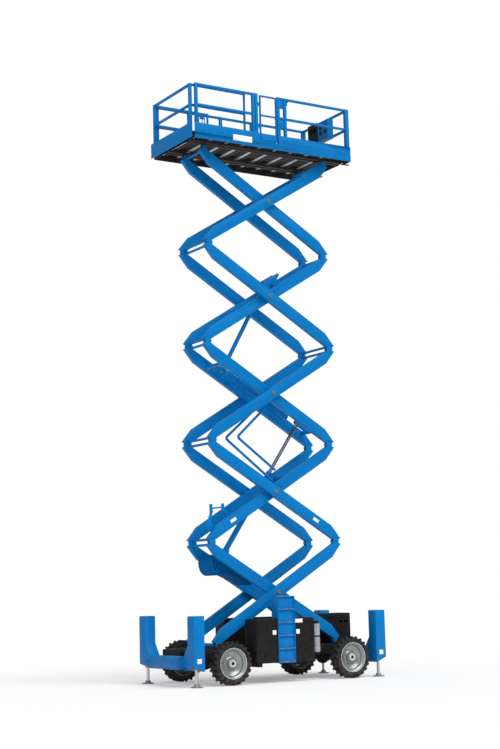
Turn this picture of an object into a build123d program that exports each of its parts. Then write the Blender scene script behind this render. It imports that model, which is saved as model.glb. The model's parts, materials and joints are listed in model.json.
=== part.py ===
"""Rough-terrain scissor lift: five pantograph stages, outriggers, roll-out platform.

Frame: +X along the machine towards the steered end, -Y the ladder side, +Z up,
origin on the ground under the middle of the machine's length.  Millimetres throughout.
X sizes are from the middle of the running gear; write() moves all by SHIFT_X.
The stack stands partly raised, at REST_ANGLE.
"""
from build123d import *
import os
from collections import namedtuple
from math import asin, atan2, cos, degrees, radians, sin, tan

# ---------------------------------------------------------------- driving dimensions
# running gear
TYRE_OD = 850.0
TYRE_W = 310.0
RIM_OD = 610.0
RIM_T = 22.0
TYRE_Y = 985.0                 # tyre centre plane from the middle of the machine
REAR_AXLE_X = -1438.0
FRONT_AXLE_X = 1407.0
KINGPIN_Y = 800.0
KINGPIN_R = 38.0
HUB_R = 150.0

# chassis
RAIL_Y0, RAIL_Y1 = 335.0, 585.0
RAIL_TOP = 696.0
RAIL_H = 216.0
DECK_T = 16.0

# scissor stack
STAGES = 5
REST_ANGLE = 35.1              # slope of a line from pin to pin
ARM_L = 3562.0                 # pin to pin
ARM_D = 220.0                  # depth of the box section
ARM_T = 110.0                  # width of the box section
STACK_GAP = 12.0               # between stages when lowered
OUTER_Y, INNER_Y = 518.0, 394.0
BASE_X = -1464.0
BASE_Z = 758.0
NOSE_SLOPE = 19.5              # taper of a nose on the side away from its pin
NOSE_TAPER = 262.0             # where that taper starts, back from the pin
NOSE_RELIEF = 58.0             # slope of a nose past its pin, clear of the next arm when raised
FOOT_RELIEF = 70.0
EYE_R = 70.0
TONGUE_T = 54.0
PIN_R = 24.0
PIN_FIT = 0.3
EYE_GAP = 6.0                  # round an eye that turns inside the other arm
SIDE_GAP = 4.0                 # between tongue and cheek
CENTRE_PIN_R = 34.0
PIN_HEAD_R, PIN_HEAD_T = 46.0, 16.0
TIE_R = 46.0                   # cross tubes
ROLLER_R = 61.0                # runs 1 mm clear of its tracks
FOOT_EYE_R = 50.0

# outriggers
TOWER_X = (-2213.0, 2102.0)
TOWER_Y = 1013.0
TOWER_W, TOWER_L = 250.0, 236.0        # across and along the machine
TOWER_TOP = 1355.0
TOWER_FOOT_OUT, TOWER_FOOT_IN = 400.0, 300.0
FLARE_TOP, FLARE_Z, FLARE_Y = 810.0, 576.0, 715.0
BEAM_T = 150.0
LEG_R, PAD_R, PAD_T = 32.0, 125.0, 30.0
DRUM_R, DRUM_Y = 130.0, (-660.0, -80.0)
TIE_LUG_Y, TIE_LUG_Z, TIE_LUG_T, TIE_BORE_R = 780.0, 460.0, 25.0, 20.0
TIE_LUG_OUT = 75.0

# side modules and ladder
MOD_TOP, MOD_FOOT = 1262.0, 392.0
MOD_Y0, MOD_Y1 = 670.0, 1118.0
NEAR_MOD_X = (-905.0, 480.0)
FAR_MOD_X = (-560.0, 780.0)
TRAY_HINGE = (FAR_MOD_X[0] + 30.0, MOD_Y0 + 30.0)      # x and y of the engine tray's pintle
TRAY_PIN_R = 14.0
LADDER_X = (-400.0, 0.0)
LADDER_D, LADDER_TOP, LADDER_FOOT = 245.0, 1700.0, 385.0
LADDER_T, LADDER_OUT = 12.0, 18.0       # sheet; how far it stands out of the module
TREADS, TREAD_H = 5, 26.0
END_BOX_X = (1150.0, 1985.0)
END_BOX_Y, END_BOX_TOP = 245.0, 1310.0

# platform: heights are above the floor, whose frame stands PLAT_RISE over the top pins
PLAT_X = (-2006.0, 1949.0)
PLAT_Y = 899.0
PLAT_RISE = 19.0
PLAT_FRAME_H = 140.0
PLAT_WALL = 8.0
FLOOR_T = 14.0
TOE_H, MID_H, TOP_H = 188.0, 583.0, 1016.0
RAIL_S, POST_S = 46.0, 60.0    # square tubes: side of a rail and of a post
RAIL_INSET = 4.0               # rails in from the deck's wall
EXT_X = (-1990.0, -648.0)
EXT_INSET = 54.0               # roll-out rails in from the main ones
EXT_GAP = 6.0                  # roll-out deck above the floor
TRACK_OVER = 215.0             # tracks past the deck and the rails, for the lowered stack
GATE_X = (-400.0, 89.0)        # clear opening between its posts
GATE_HINGES = (320.0, 800.0)
GATE_S, GATE_PIN_R = 32.0, 9.0
# y0 y1 depth z0 z1 of the control box and the outlet box beside it
CONTROL_BOXES = ((23.0, 378.0, 170.0, 530.0, 980.0), (-392.0, 23.0, 150.0, 522.0, 962.0))

# ---------------------------------------------------------------- worked-out sizes
PIN_OFF = (ARM_D + STACK_GAP) / 2
PIN_RISE = degrees(asin(2 * PIN_OFF / ARM_L))      # pin line against the arm's own axis
PIN_U = ARM_L * cos(radians(PIN_RISE)) / 2
TILT = REST_ANGLE - PIN_RISE
STEP = ARM_L * sin(radians(REST_ANGLE))
SPAN = ARM_L * cos(radians(REST_ANGLE))
MID_X = BASE_X + SPAN / 2
FAR_X = BASE_X + SPAN
TOP_Z = BASE_Z + STAGES * STEP
AXLE_Z = TYRE_OD / 2
REACH_X = (TOWER_X[0] - TOWER_L / 2 - DRUM_R, TOWER_X[1] + TOWER_L / 2 + TIE_LUG_OUT)
SHIFT_X = -(REACH_X[0] + REACH_X[1]) / 2
PLAT_FOOT = TOP_Z + PLAT_RISE
PLAT_FLOOR = PLAT_FOOT + PLAT_FRAME_H
TOE_TOP, MID_RAIL, TOP_RAIL = PLAT_FLOOR + TOE_H, PLAT_FLOOR + MID_H, PLAT_FLOOR + TOP_H
RAIL_Y = PLAT_Y - PLAT_WALL - RAIL_INSET - POST_S / 2


# ---------------------------------------------------------------- helpers
def block(x0, x1, y0, y1, z0, z1):
    """Box between two corners."""
    return Pos((x0 + x1) / 2, (y0 + y1) / 2, (z0 + z1) / 2) * Box(x1 - x0, y1 - y0, z1 - z0)


def rod_y(radius, y0, y1, x=0.0, z=0.0):
    """Cylinder along Y."""
    return Pos(x, (y0 + y1) / 2, z) * Rot(90, 0, 0) * Cylinder(radius, y1 - y0)


def rod_z(radius, z0, z1, x=0.0, y=0.0):
    """Cylinder along Z."""
    return Pos(x, y, (z0 + z1) / 2) * Cylinder(radius, z1 - z0)


def rod_x(radius, x0, x1, y=0.0, z=0.0):
    """Cylinder along X."""
    return Pos((x0 + x1) / 2, y, z) * Rot(0, 90, 0) * Cylinder(radius, x1 - x0)


def plate_y(points, y0, y1):
    """Plate with an outline of (x, z) points, between two Y planes."""
    face = make_face(Plane.XZ * Polyline(*points, close=True))
    return Pos(0, y0, 0) * extrude(face, y1 - y0, dir=(0, 1, 0))


def plate_x(points, x0, x1):
    """Plate with an outline of (y, z) points, between two X planes."""
    face = make_face(Plane.YZ * Polyline(*points, close=True))
    return Pos(x0, 0, 0) * extrude(face, x1 - x0, dir=(1, 0, 0))


def far_side(shape):
    """The same shape mirrored to the far side of the machine."""
    return mirror(shape, Plane.XZ)


def both_sides(shape):
    """A shape and its mirror image."""
    return shape + far_side(shape)


def write(name, *solids):
    """One STEP file for a node."""
    solids = [Pos(SHIFT_X, 0, 0) * solid for solid in solids]
    shape = solids[0] if len(solids) == 1 else Compound(children=solids)
    shape.label = name
    export_step(shape, f"parts/{name}.step")


# ---------------------------------------------------------------- scissor arms
# An arm lies level in its own frame: u along it, v up, its middle at the origin.
# The lower pin is at (-PIN_U, -PIN_OFF) and the upper pin at (PIN_U, PIN_OFF).
End = namedtuple("End", "relief eye form")
STAGE_EYE = End(NOSE_RELIEF, EYE_R, "tongue")
STAGE_FORK = End(NOSE_RELIEF, EYE_R, "fork")
FOOT_FORK = End(FOOT_RELIEF, FOOT_EYE_R, "fork")
FOOT_ROLLER = End(FOOT_RELIEF, FOOT_EYE_R, "roller")

# stage, side: A climbs to +X and B to -X; plane: middle of the arm's width;
# low, high: form of its ends; low_tie, high_tie: a cross tube beside that end's pin;
# ties: cross tubes elsewhere, as (u, v)
TIE_BACK, TIE_IN, END_TIE_R = 24.0, 48.0, 27.0
Arm = namedtuple("Arm", "stage side plane low high low_tie high_tie ties")
ARMS = (
    Arm(1, "a", OUTER_Y, FOOT_FORK, STAGE_FORK, False, False, ((-PIN_U, -PIN_OFF),)),
    Arm(1, "b", INNER_Y, FOOT_ROLLER, STAGE_FORK, False, True, ((-620.0, 30.0),)),
    Arm(2, "a", INNER_Y, STAGE_EYE, STAGE_FORK, True, False, ((650.0, 0.0),)),
    Arm(2, "b", OUTER_Y, STAGE_EYE, STAGE_FORK, False, True, ()),
    Arm(3, "a", OUTER_Y, STAGE_EYE, STAGE_FORK, True, True, ()),
    Arm(3, "b", INNER_Y, STAGE_EYE, STAGE_FORK, False, True, ()),
    Arm(4, "a", INNER_Y, STAGE_EYE, STAGE_FORK, True, True, ()),
    Arm(4, "b", OUTER_Y, STAGE_EYE, STAGE_FORK, True, True, ()),
    Arm(5, "a", OUTER_Y, STAGE_EYE, FOOT_ROLLER, True, False, ((PIN_U, PIN_OFF),)),
    Arm(5, "b", INNER_Y, STAGE_EYE, FOOT_FORK, False, True, ()),
)


def nose_tip(relief):
    """Tip of the upper nose, where the taper meets the relief line from the pin."""
    taper, slope = tan(radians(NOSE_SLOPE)), tan(radians(relief))
    past = (PIN_OFF + ARM_D / 2 - NOSE_TAPER * taper) / (taper + slope)
    return (PIN_U + past, PIN_OFF - past * slope)


def arm_outline(low, high):
    """Side view of an arm: both noses taper away from the side that holds the pin."""
    half = ARM_D / 2
    low_tip, high_tip = nose_tip(low.relief), nose_tip(high.relief)
    return [
        (-PIN_U, -half),
        (PIN_U - NOSE_TAPER, -half),
        high_tip,
        (PIN_U, half),
        (-PIN_U + NOSE_TAPER, half),
        (-low_tip[0], -low_tip[1]),
    ]


def eye_cuts(end, u, v):
    """Space an end gives up, so that the arm it meets can turn about their pin."""
    ring = end.eye + EYE_GAP
    inner = TONGUE_T / 2 + SIDE_GAP
    if end.form == "tongue":
        return [rod_y(ring, s * inner - (0 if s > 0 else ARM_T), s * inner + (ARM_T if s > 0 else 0), u, v)
                for s in (-1, 1)]
    return [rod_y(ring, -inner, inner, u, v)]


def eye(end, u, v):
    """Eye round the pin: one tongue, or two cheeks with the pin between them."""
    half = ARM_T / 2
    inner = TONGUE_T / 2 + SIDE_GAP
    if end.form == "tongue":
        return [rod_y(end.eye, -TONGUE_T / 2, TONGUE_T / 2, u, v)]
    cheeks = [rod_y(end.eye, inner, half, u, v), rod_y(end.eye, -half, -inner, u, v)]
    return cheeks + [rod_y(PIN_R, -half, half, u, v)]


def arm_side(arm):
    """One side of an arm's weldment, level, about its own middle plane."""
    half = ARM_T / 2
    bar = plate_y(arm_outline(arm.low, arm.high), -half, half)
    for end, u, v in ((arm.low, -PIN_U, -PIN_OFF), (arm.high, PIN_U, PIN_OFF)):
        for cut in eye_cuts(end, u, v):
            bar -= cut
        for part in eye(end, u, v):
            bar += part
        if end.form == "tongue":
            bar -= rod_y(PIN_R + PIN_FIT, -half, half, u, v)
        if end.form == "roller":
            bar += rod_y(ROLLER_R, -TONGUE_T / 2, TONGUE_T / 2, u, v)
    return bar


def centre_pin(arm):
    """Pin through the crossing, carried by the outer arm; the inner arm has its bore."""
    if arm.plane == OUTER_Y:
        return rod_y(CENTRE_PIN_R, INNER_Y - ARM_T / 2, OUTER_Y + ARM_T / 2) + rod_y(
            PIN_HEAD_R, OUTER_Y + ARM_T / 2, OUTER_Y + ARM_T / 2 + PIN_HEAD_T)
    return None


def lift_lug(lug):
    """Pair of lug plates from a cross tube to a cylinder's pin; a rod's pin stops at the plates."""
    run = Vector(lug.u - lug.tie_u, 0, lug.v - lug.tie_v)
    angle = degrees(atan2(run.Z, run.X))
    outer = LUG_GAP + LUG_T
    pair = None
    for s in (-1, 1):
        y0, y1 = sorted((s * LUG_GAP, s * outer))
        web = Pos(lug.tie_u, (y0 + y1) / 2, lug.tie_v) * Rot(0, -angle, 0) * Pos(run.length / 2, 0, 0) * Box(
            run.length, LUG_T, 2 * LUG_R)
        ear = web + rod_y(LUG_R, y0, y1, lug.u, lug.v)
        ear += rod_y(LUG_PIN_R + 10, *sorted((s * (outer - 5), s * (outer + 12))), lug.u, lug.v)
        pair = ear if pair is None else pair + ear
    if lug.pinned:
        pair += rod_y(LUG_PIN_R, -outer, outer, lug.u, lug.v)
    return pair


# Cylinder lugs: arm, place of the pin (u, v), the tie that carries it; pinned at a barrel's foot.
LUG_T, LUG_R, LUG_PIN_R = 20.0, 52.0, 22.0
LUG_GAP = 70.0                 # from the middle plane to each lug plate
LIFT_EYE_T = 132.0
Lug = namedtuple("Lug", "arm u v tie_u tie_v pinned")
LOWER_FOOT = Lug((1, "b"), 1228.0, 254.0, 1225.0, 60.0, True)
LOWER_HEAD = Lug((3, "b"), -1087.0, 62.0, -1455.0, 60.0, False)
UPPER_FOOT = Lug((3, "b"), 1016.0, -35.0, 1225.0, -58.0, True)
UPPER_HEAD = Lug((4, "a"), 423.0, 239.0, 540.0, 10.0, False)
LUGS = (LOWER_FOOT, LOWER_HEAD, UPPER_FOOT, UPPER_HEAD)


def arm_place(stage, side):
    """Location of a level arm in the machine; B arms are mirrored first."""
    turn = -TILT if side == "a" else TILT
    return Pos(MID_X, 0, BASE_Z + (stage - 0.5) * STEP) * Rot(0, turn, 0)


def arm_point(lug):
    """Where a point of an arm's own frame lies in the machine at rest."""
    stage, side = lug.arm
    u = lug.u if side == "a" else -lug.u
    turn = radians(TILT if side == "a" else -TILT)
    x = MID_X + u * cos(turn) - lug.v * sin(turn)
    z = BASE_Z + (stage - 0.5) * STEP + u * sin(turn) + lug.v * cos(turn)
    return (x, 0.0, z)


def make_arm(arm):
    """Whole weldment of one arm: two sides, cross tubes and cylinder lugs."""
    side = Pos(0, arm.plane, 0) * arm_side(arm)
    pin = centre_pin(arm)
    if pin is None:
        side -= rod_y(CENTRE_PIN_R + PIN_FIT, arm.plane - ARM_T, arm.plane + ARM_T)
    else:
        side += pin
    reach = arm.plane - ARM_T / 2
    whole = both_sides(side)
    lugs = [lug for lug in LUGS if lug.arm == (arm.stage, arm.side)]
    for u, v in list(arm.ties) + [(lug.tie_u, lug.tie_v) for lug in lugs]:
        whole += rod_y(TIE_R, -reach, reach, u, v)
    for s, tied in ((-1, arm.low_tie), (1, arm.high_tie)):
        if tied:
            whole += rod_y(END_TIE_R, -reach, reach, s * (PIN_U - TIE_BACK), s * (PIN_OFF - TIE_IN))
    for lug in lugs:
        whole += lift_lug(lug)
    if arm.side == "b":
        whole = mirror(whole, Plane.YZ)
    return arm_place(arm.stage, arm.side) * whole


# ---------------------------------------------------------------- lift cylinders
LIFT_EYE_R = 46.0
# mouth: of the barrel, as a share of the line from pin to pin; draw_in: how far the rod
# slides in from where it stands to the lowered stack
Ram = namedtuple("Ram", "name foot head barrel_r rod_r mouth draw_in")
RAMS = (
    Ram("lower_lift", LOWER_FOOT, LOWER_HEAD, 57.0, 36.0, 0.60, 982.0),
    Ram("upper_lift", UPPER_FOOT, UPPER_HEAD, 44.0, 28.0, 0.63, 745.0),
)


def ram_bodies(ram):
    """Barrel and rod of a lift cylinder, from pin to pin."""
    foot, head = Vector(*arm_point(ram.foot)), Vector(*arm_point(ram.head))
    run = head - foot
    place = Pos(*foot) * Rot(0, degrees(atan2(run.X, run.Z)), 0)
    mouth, half = run.length * ram.mouth, LIFT_EYE_T / 2
    floor = LIFT_EYE_R + 12
    barrel = rod_y(LIFT_EYE_R, -half, half) + rod_z(ram.barrel_r, 0, mouth)
    barrel += rod_z(ram.barrel_r + 6, mouth - 60, mouth)
    barrel -= rod_y(LUG_PIN_R + PIN_FIT, -half, half)
    barrel -= rod_z(ram.rod_r + PIN_FIT, floor, mouth)
    rod = rod_z(ram.rod_r, floor + 6 + ram.draw_in, run.length - LIFT_EYE_R * 0.7)
    rod += rod_y(LIFT_EYE_R, -half, half, 0, run.length)
    rod -= rod_y(LUG_PIN_R + PIN_FIT, -half, half, 0, run.length)
    return place * barrel, place * rod


# ---------------------------------------------------------------- chassis
def chassis_frame():
    """Two box rails, cross members, deck, feet of the stack and module brackets."""
    x0, x1 = TOWER_X[0] + TOWER_L / 2, TOWER_X[1] - TOWER_L / 2
    foot, deck = RAIL_TOP - RAIL_H, RAIL_TOP - 56
    track = block(x1, x1 + TRACK_OVER, INNER_Y - 30, INNER_Y + 30, FLARE_Z + PIN_FIT, RAIL_TOP)
    y0, y1 = OUTER_Y - TONGUE_T / 2, OUTER_Y + TONGUE_T / 2
    ear = rod_y(FOOT_EYE_R, y0, y1, BASE_X, BASE_Z) + block(
        BASE_X - FOOT_EYE_R, BASE_X + FOOT_EYE_R, y0, y1, RAIL_TOP, BASE_Z)
    ear -= rod_y(PIN_R + PIN_FIT, y0, y1, BASE_X, BASE_Z)
    near = [block(x0, x1, -RAIL_Y1, -RAIL_Y0, foot, RAIL_TOP), far_side(track), far_side(ear)]
    pieces = near + [far_side(piece) for piece in near]
    pieces += [block(x - 60, x + 60, -RAIL_Y0, RAIL_Y0, foot, deck) for x in (-1750.0, -760.0, 0.0, 760.0, 1800.0)]
    pieces.append(block(-820, x1, -RAIL_Y0, RAIL_Y0, deck, deck + DECK_T))
    for s, ends in ((-1, NEAR_MOD_X), (1, FAR_MOD_X)):
        for x in (ends[0] + 120, ends[1] - 120):
            y0, y1 = sorted((s * RAIL_Y1, s * (MOD_Y1 - 60)))
            hinged = s > 0 and x < 0
            shelf = block(ends[0] if hinged else x - 40, x + 40, y0, y1, MOD_FOOT - 70, MOD_FOOT - PIN_FIT)
            if hinged:
                shelf -= rod_z(TRAY_PIN_R + PIN_FIT, MOD_FOOT - 80, MOD_FOOT, *TRAY_HINGE)
            y0, y1 = sorted((s * RAIL_Y1, s * (RAIL_Y1 + 20)))
            pieces.append(shelf + block(x - 40, x + 40, y0, y1, MOD_FOOT - 70, foot + 60))
    return pieces


def outrigger_frame(x_tower):
    """Two towers joined by the end cross beam, with open bores for the legs."""
    out = 1 if x_tower > 0 else -1
    xi, xo = x_tower - out * TOWER_L / 2, x_tower + out * TOWER_L / 2
    yi, yo = TOWER_Y - TOWER_W / 2, TOWER_Y + TOWER_W / 2
    outline = [(yi, TOWER_TOP), (yo, TOWER_TOP), (yo, TOWER_FOOT_IN), (0, TOWER_FOOT_IN),
               (0, FLARE_Z), (FLARE_Y, FLARE_Z), (yi, FLARE_TOP)]
    half = plate_x(outline, min(xi, xo), max(xi, xo))
    wedge = plate_y([(xi, TOWER_FOOT_IN - 1), (xo, TOWER_FOOT_IN - 1), (xo, TOWER_FOOT_OUT)], -1, yo + 1)
    half -= wedge
    half -= rod_z(LEG_R + PIN_FIT, TOWER_FOOT_IN - 5, TOWER_TOP - 60, x_tower, TOWER_Y)
    frame = both_sides(half)
    if out < 0:
        frame += rod_y(DRUM_R, *DRUM_Y, xo, FLARE_Z - DRUM_R + 10)
        frame -= block(xi, xi + 200, -yi, yi, 0, FLARE_Z)
    lug = plate_y([(xo, TIE_LUG_Z - 45), (xo + out * 40, TIE_LUG_Z - 45), (xo + out * TIE_LUG_OUT, TIE_LUG_Z),
                   (xo + out * 40, TIE_LUG_Z + 45), (xo, TIE_LUG_Z + 45)],
                  TIE_LUG_Y - TIE_LUG_T / 2, TIE_LUG_Y + TIE_LUG_T / 2)
    lug -= rod_y(TIE_BORE_R, TIE_LUG_Y - 50, TIE_LUG_Y + 50, xo + out * 35, TIE_LUG_Z)
    return frame + both_sides(lug)


def outrigger_leg(x_tower, side):
    """Chrome rod with its round pad, standing on the ground."""
    y = side * TOWER_Y
    leg = rod_z(LEG_R, PAD_T, TOWER_FOOT_IN + 620, x_tower, y)
    pad = rod_z(PAD_R, 0, PAD_T * 0.5, x_tower, y) + Pos(x_tower, y, PAD_T * 0.9) * Cone(PAD_R * 0.8, 55, PAD_T * 0.8)
    return leg + pad


# ---------------------------------------------------------------- axles, steering, wheels
def axle(x, steered):
    """Beam axle with its middle housing; the steered one ends in kingpin forks."""
    reach = KINGPIN_Y if steered else TYRE_Y - TYRE_W / 2 - 6
    z1 = RAIL_TOP - RAIL_H
    half = block(x - 60, x + 60, 0, reach - (110 if steered else 0), z1 - 110, z1)
    half += block(x - 75, x + 75, RAIL_Y0, RAIL_Y1, z1 - 130, z1)
    if steered:
        for z in (AXLE_Z - 105, AXLE_Z + 75):
            half += block(x - 60, x + 60, reach - 150, reach, z, z + 30) + rod_z(60, z, z + 30, x, reach)
        half += block(x - 60, x + 60, reach - 150, reach - 100, AXLE_Z - 105, AXLE_Z + 105)
        half += rod_z(KINGPIN_R - 8, AXLE_Z - 105, AXLE_Z + 105, x, reach)
    else:
        half += rod_y(HUB_R - 20, RAIL_Y1 + 30, TYRE_Y - TYRE_W / 2 - 6, x, AXLE_Z)
        half += rod_y(60, reach, WHEEL_FACE - 30, x, AXLE_Z)
    whole = both_sides(half)
    return whole + Pos(x, 0, z1 - 60) * Sphere(150)


WHEEL_FACE = 1050.0


def knuckle(side):
    """Steering knuckle on its kingpin, with the drive hub's spindle."""
    x, y = FRONT_AXLE_X, KINGPIN_Y
    body = rod_z(56, AXLE_Z - 74, AXLE_Z + 74, x, y) - rod_z(KINGPIN_R - 8 + PIN_FIT, 0, TYRE_OD, x, y)
    body += block(x - 45, x + 45, y + 40, WHEEL_FACE - 80, AXLE_Z - 60, AXLE_Z + 60)
    body -= rod_z(KINGPIN_R - 8 + PIN_FIT, 0, TYRE_OD, x, y)
    body += rod_y(60, WHEEL_FACE - 100, WHEEL_FACE - 30, x, AXLE_Z)
    body += block(x - 200, x - 30, y - 20, y + 20, AXLE_Z - 50, AXLE_Z - 20)
    body -= rod_z(KINGPIN_R - 8 + PIN_FIT, 0, TYRE_OD, x, y)
    return body if side > 0 else far_side(body)


def tyre(x, side):
    """Tyre with a rounded shoulder, a solid ring round its rim."""
    half_w, ro, ri = TYRE_W / 2, TYRE_OD / 2, RIM_OD / 2
    outline = [(ri, -half_w + 30), (ri + 40, -half_w), (ro - 40, -half_w), (ro, -half_w + 40),
               (ro, half_w - 40), (ro - 40, half_w), (ri + 40, half_w), (ri, half_w - 30)]
    section = make_face(Plane.XY * Polyline(*outline, close=True))
    ring = revolve(section, Axis.Y)
    return Pos(x, side * TYRE_Y, AXLE_Z) * ring


def rim(x, side):
    """Rim ring, and a closed conical dish that rises to the drive hub's cap."""
    half_w, ro = TYRE_W / 2, RIM_OD / 2
    bore = ro - RIM_T
    ring = rod_y(ro, -half_w + 30, half_w - 24) - rod_y(bore, -half_w, half_w)
    outline = [(0, WHEEL_FACE - 29 - TYRE_Y), (60 + PIN_FIT, WHEEL_FACE - 29 - TYRE_Y), (60 + PIN_FIT, 30),
               (95, 30), (bore, 76), (bore, 94), (112, 50), (95, 56), (95, 92), (70, 92), (70, 104), (0, 104)]
    dish = revolve(make_face(Plane.XY * Polyline(*outline, close=True)), Axis.Y)
    solids = [ring, dish] if side > 0 else [far_side(ring), far_side(dish)]
    return [Pos(x, side * TYRE_Y, AXLE_Z) * solid for solid in solids]


# ---------------------------------------------------------------- modules, ladder
def rounded(x0, x1, y0, y1, z0, z1, radius):
    """Box with its upright and top edges rounded."""
    solid = block(x0, x1, y0, y1, z0, z1)
    edges = solid.edges().filter_by(Axis.Z) + solid.faces().sort_by(Axis.Z)[-1].edges()
    return fillet(edges, radius)


def near_module():
    """Hydraulic module, with a bay for the ladder."""
    cover = rounded(*NEAR_MOD_X, -MOD_Y1, -MOD_Y0, MOD_FOOT, MOD_TOP, 40)
    return cover - block(LADDER_X[0] - PIN_FIT, LADDER_X[1] + PIN_FIT, -MOD_Y1 - 40,
                         -MOD_Y1 - LADDER_OUT + LADDER_D + PIN_FIT, 0, LADDER_TOP)


def engine_cover():
    """Engine side cover, a shell on the tray's floor, with the pintle it swings on."""
    x0, x1 = FAR_MOD_X
    cover = rounded(x0, x1, MOD_Y0, MOD_Y1, MOD_FOOT, MOD_TOP, 40)
    cover -= block(x0 + 12, x1 - 12, MOD_Y0 + 12, MOD_Y1 - 12, MOD_FOOT + 20, MOD_TOP - 14)
    return cover + rod_z(TRAY_PIN_R, MOD_FOOT - 60, MOD_FOOT + 20, *TRAY_HINGE)


def engine():
    """Engine, a plain block on the tray."""
    x0, x1 = FAR_MOD_X
    return block(x0 + 250, x1 - 350, MOD_Y0 + 70, MOD_Y1 - 60, MOD_FOOT + 20, MOD_FOOT + 560)


def end_box():
    """Tank box between the arms at the steered end."""
    return rounded(*END_BOX_X, -END_BOX_Y, END_BOX_Y, RAIL_TOP - 40, END_BOX_TOP, 30)


def ladder():
    """Entry ladder: cheeks, back sheet and treads."""
    x0, x1 = LADDER_X
    y0, y1 = -MOD_Y1 - LADDER_OUT, -MOD_Y1 - LADDER_OUT + LADDER_D
    solid = block(x0, x0 + LADDER_T, y0, y1, LADDER_FOOT, LADDER_TOP)
    solid += block(x1 - LADDER_T, x1, y0, y1, LADDER_FOOT, LADDER_TOP)
    solid += block(x0, x1, y1 - LADDER_T, y1, LADDER_FOOT, LADDER_TOP)
    pitch = (LADDER_TOP - LADDER_FOOT - TREAD_H) / TREADS
    for i in range(TREADS + 1):
        z = LADDER_FOOT + i * pitch
        solid += block(x0, x1, y0, y1, z, z + TREAD_H)
    return solid


def canister():
    """Upright canister beside the near module."""
    x = NEAR_MOD_X[1] + 85
    body = rod_z(78, 560, 1130, x, -MOD_Y1 + 90)
    body += rod_z(60, 1130, 1190, x, -MOD_Y1 + 90)
    return body + block(NEAR_MOD_X[1], x, -MOD_Y1 + 70, -MOD_Y1 + 110, 700, 780)


# ---------------------------------------------------------------- platform
def post(x, y, side=POST_S, foot=PLAT_FLOOR, top=TOP_RAIL + RAIL_S / 2):
    """Square post."""
    return block(x - side / 2, x + side / 2, y - side / 2, y + side / 2, foot, top)


def rails_along(y, posts, foot=PLAT_FLOOR, depth=RAIL_S):
    """Guard rail along X: posts, given as (x, side), and square tubes from one to the next."""
    pieces = [post(x, y, side, foot) for x, side in posts]
    for (xa, sa), (xb, sb) in zip(posts, posts[1:]):
        for z in (MID_RAIL, TOP_RAIL):
            pieces.append(block(xa + sa / 2, xb - sb / 2, y - depth / 2, y + depth / 2,
                                z - RAIL_S / 2, z + RAIL_S / 2))
    return pieces


def rails_across(x, y):
    """Two square tubes along Y, between -y and y."""
    return [block(x - RAIL_S / 2, x + RAIL_S / 2, -y, y, z - RAIL_S / 2, z + RAIL_S / 2)
            for z in (MID_RAIL, TOP_RAIL)]


def platform_deck():
    """Floor on its channel frame, toe boards, and tracks for the stack's upper pins."""
    x0, x1 = PLAT_X[0] + 60, PLAT_X[1]
    under, track_foot = PLAT_FLOOR - FLOOR_T, TOP_Z + ROLLER_R + 1
    inner = PLAT_Y - PLAT_WALL
    end = block(x1 - PLAT_WALL, x1, -inner, inner, PLAT_FOOT, under)
    end -= both_sides(block(x1 - 20, x1 + 1, OUTER_Y - 64, OUTER_Y + 64, 0, track_foot + 20))
    end -= block(x1 - 20, x1 + 1, -OUTER_Y, OUTER_Y, 0, TOP_Z + TIE_R + 6)
    pieces = [
        block(x0, x1, -PLAT_Y, PLAT_Y, under, PLAT_FLOOR),
        block(x0, x1, -PLAT_Y, -inner, PLAT_FOOT, under),
        block(x0, x1, inner, PLAT_Y, PLAT_FOOT, under),
        block(x0, x0 + PLAT_WALL, -inner, inner, PLAT_FOOT, under),
        end,
        block(x0, x1 - PLAT_WALL, inner, PLAT_Y, PLAT_FLOOR, TOE_TOP),
        block(x0, GATE_X[0], -PLAT_Y, -inner, PLAT_FLOOR, TOE_TOP),
        block(GATE_X[1], x1 - PLAT_WALL, -PLAT_Y, -inner, PLAT_FLOOR, TOE_TOP),
        block(x1 - PLAT_WALL, x1, -PLAT_Y, PLAT_Y, PLAT_FLOOR, TOE_TOP),
    ]
    pieces += [block(x - 20, x + 20, -inner, inner, PLAT_FLOOR - 50, under)
               for x in range(int(x0) + 250, int(x1) - 100, 400)]
    bars = PLAT_FLOOR - 50
    tracks = [block(x0 + 30, x1 - 40, INNER_Y - 30, INNER_Y + 30, track_foot, bars),
              block(x0 + 30, x1 - PLAT_WALL, OUTER_Y - 30, OUTER_Y + 30, track_foot, bars)
              + block(x1 - 60, x1 + TRACK_OVER, OUTER_Y - 30, OUTER_Y + 30, track_foot, track_foot + 14)]
    y0, y1 = INNER_Y - TONGUE_T / 2, INNER_Y + TONGUE_T / 2
    lug = rod_y(FOOT_EYE_R, y0, y1, BASE_X, TOP_Z) + block(
        BASE_X - FOOT_EYE_R, BASE_X + FOOT_EYE_R, y0, y1, TOP_Z, track_foot)
    tracks.append(lug - rod_y(PIN_R + PIN_FIT, y0, y1, BASE_X, TOP_Z))
    return pieces + tracks + [far_side(track) for track in tracks]


GATE_HINGE_X = GATE_X[0] + 24.0


def gate_pintle(z):
    """Upright pin on a bracket beside the gate's left post."""
    pin = rod_z(GATE_PIN_R, z - 30, z + 60, GATE_HINGE_X, -RAIL_Y)
    return pin + block(GATE_X[0], GATE_HINGE_X, -RAIL_Y - 8, -RAIL_Y + 8, z - 30, z - PIN_FIT)


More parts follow.
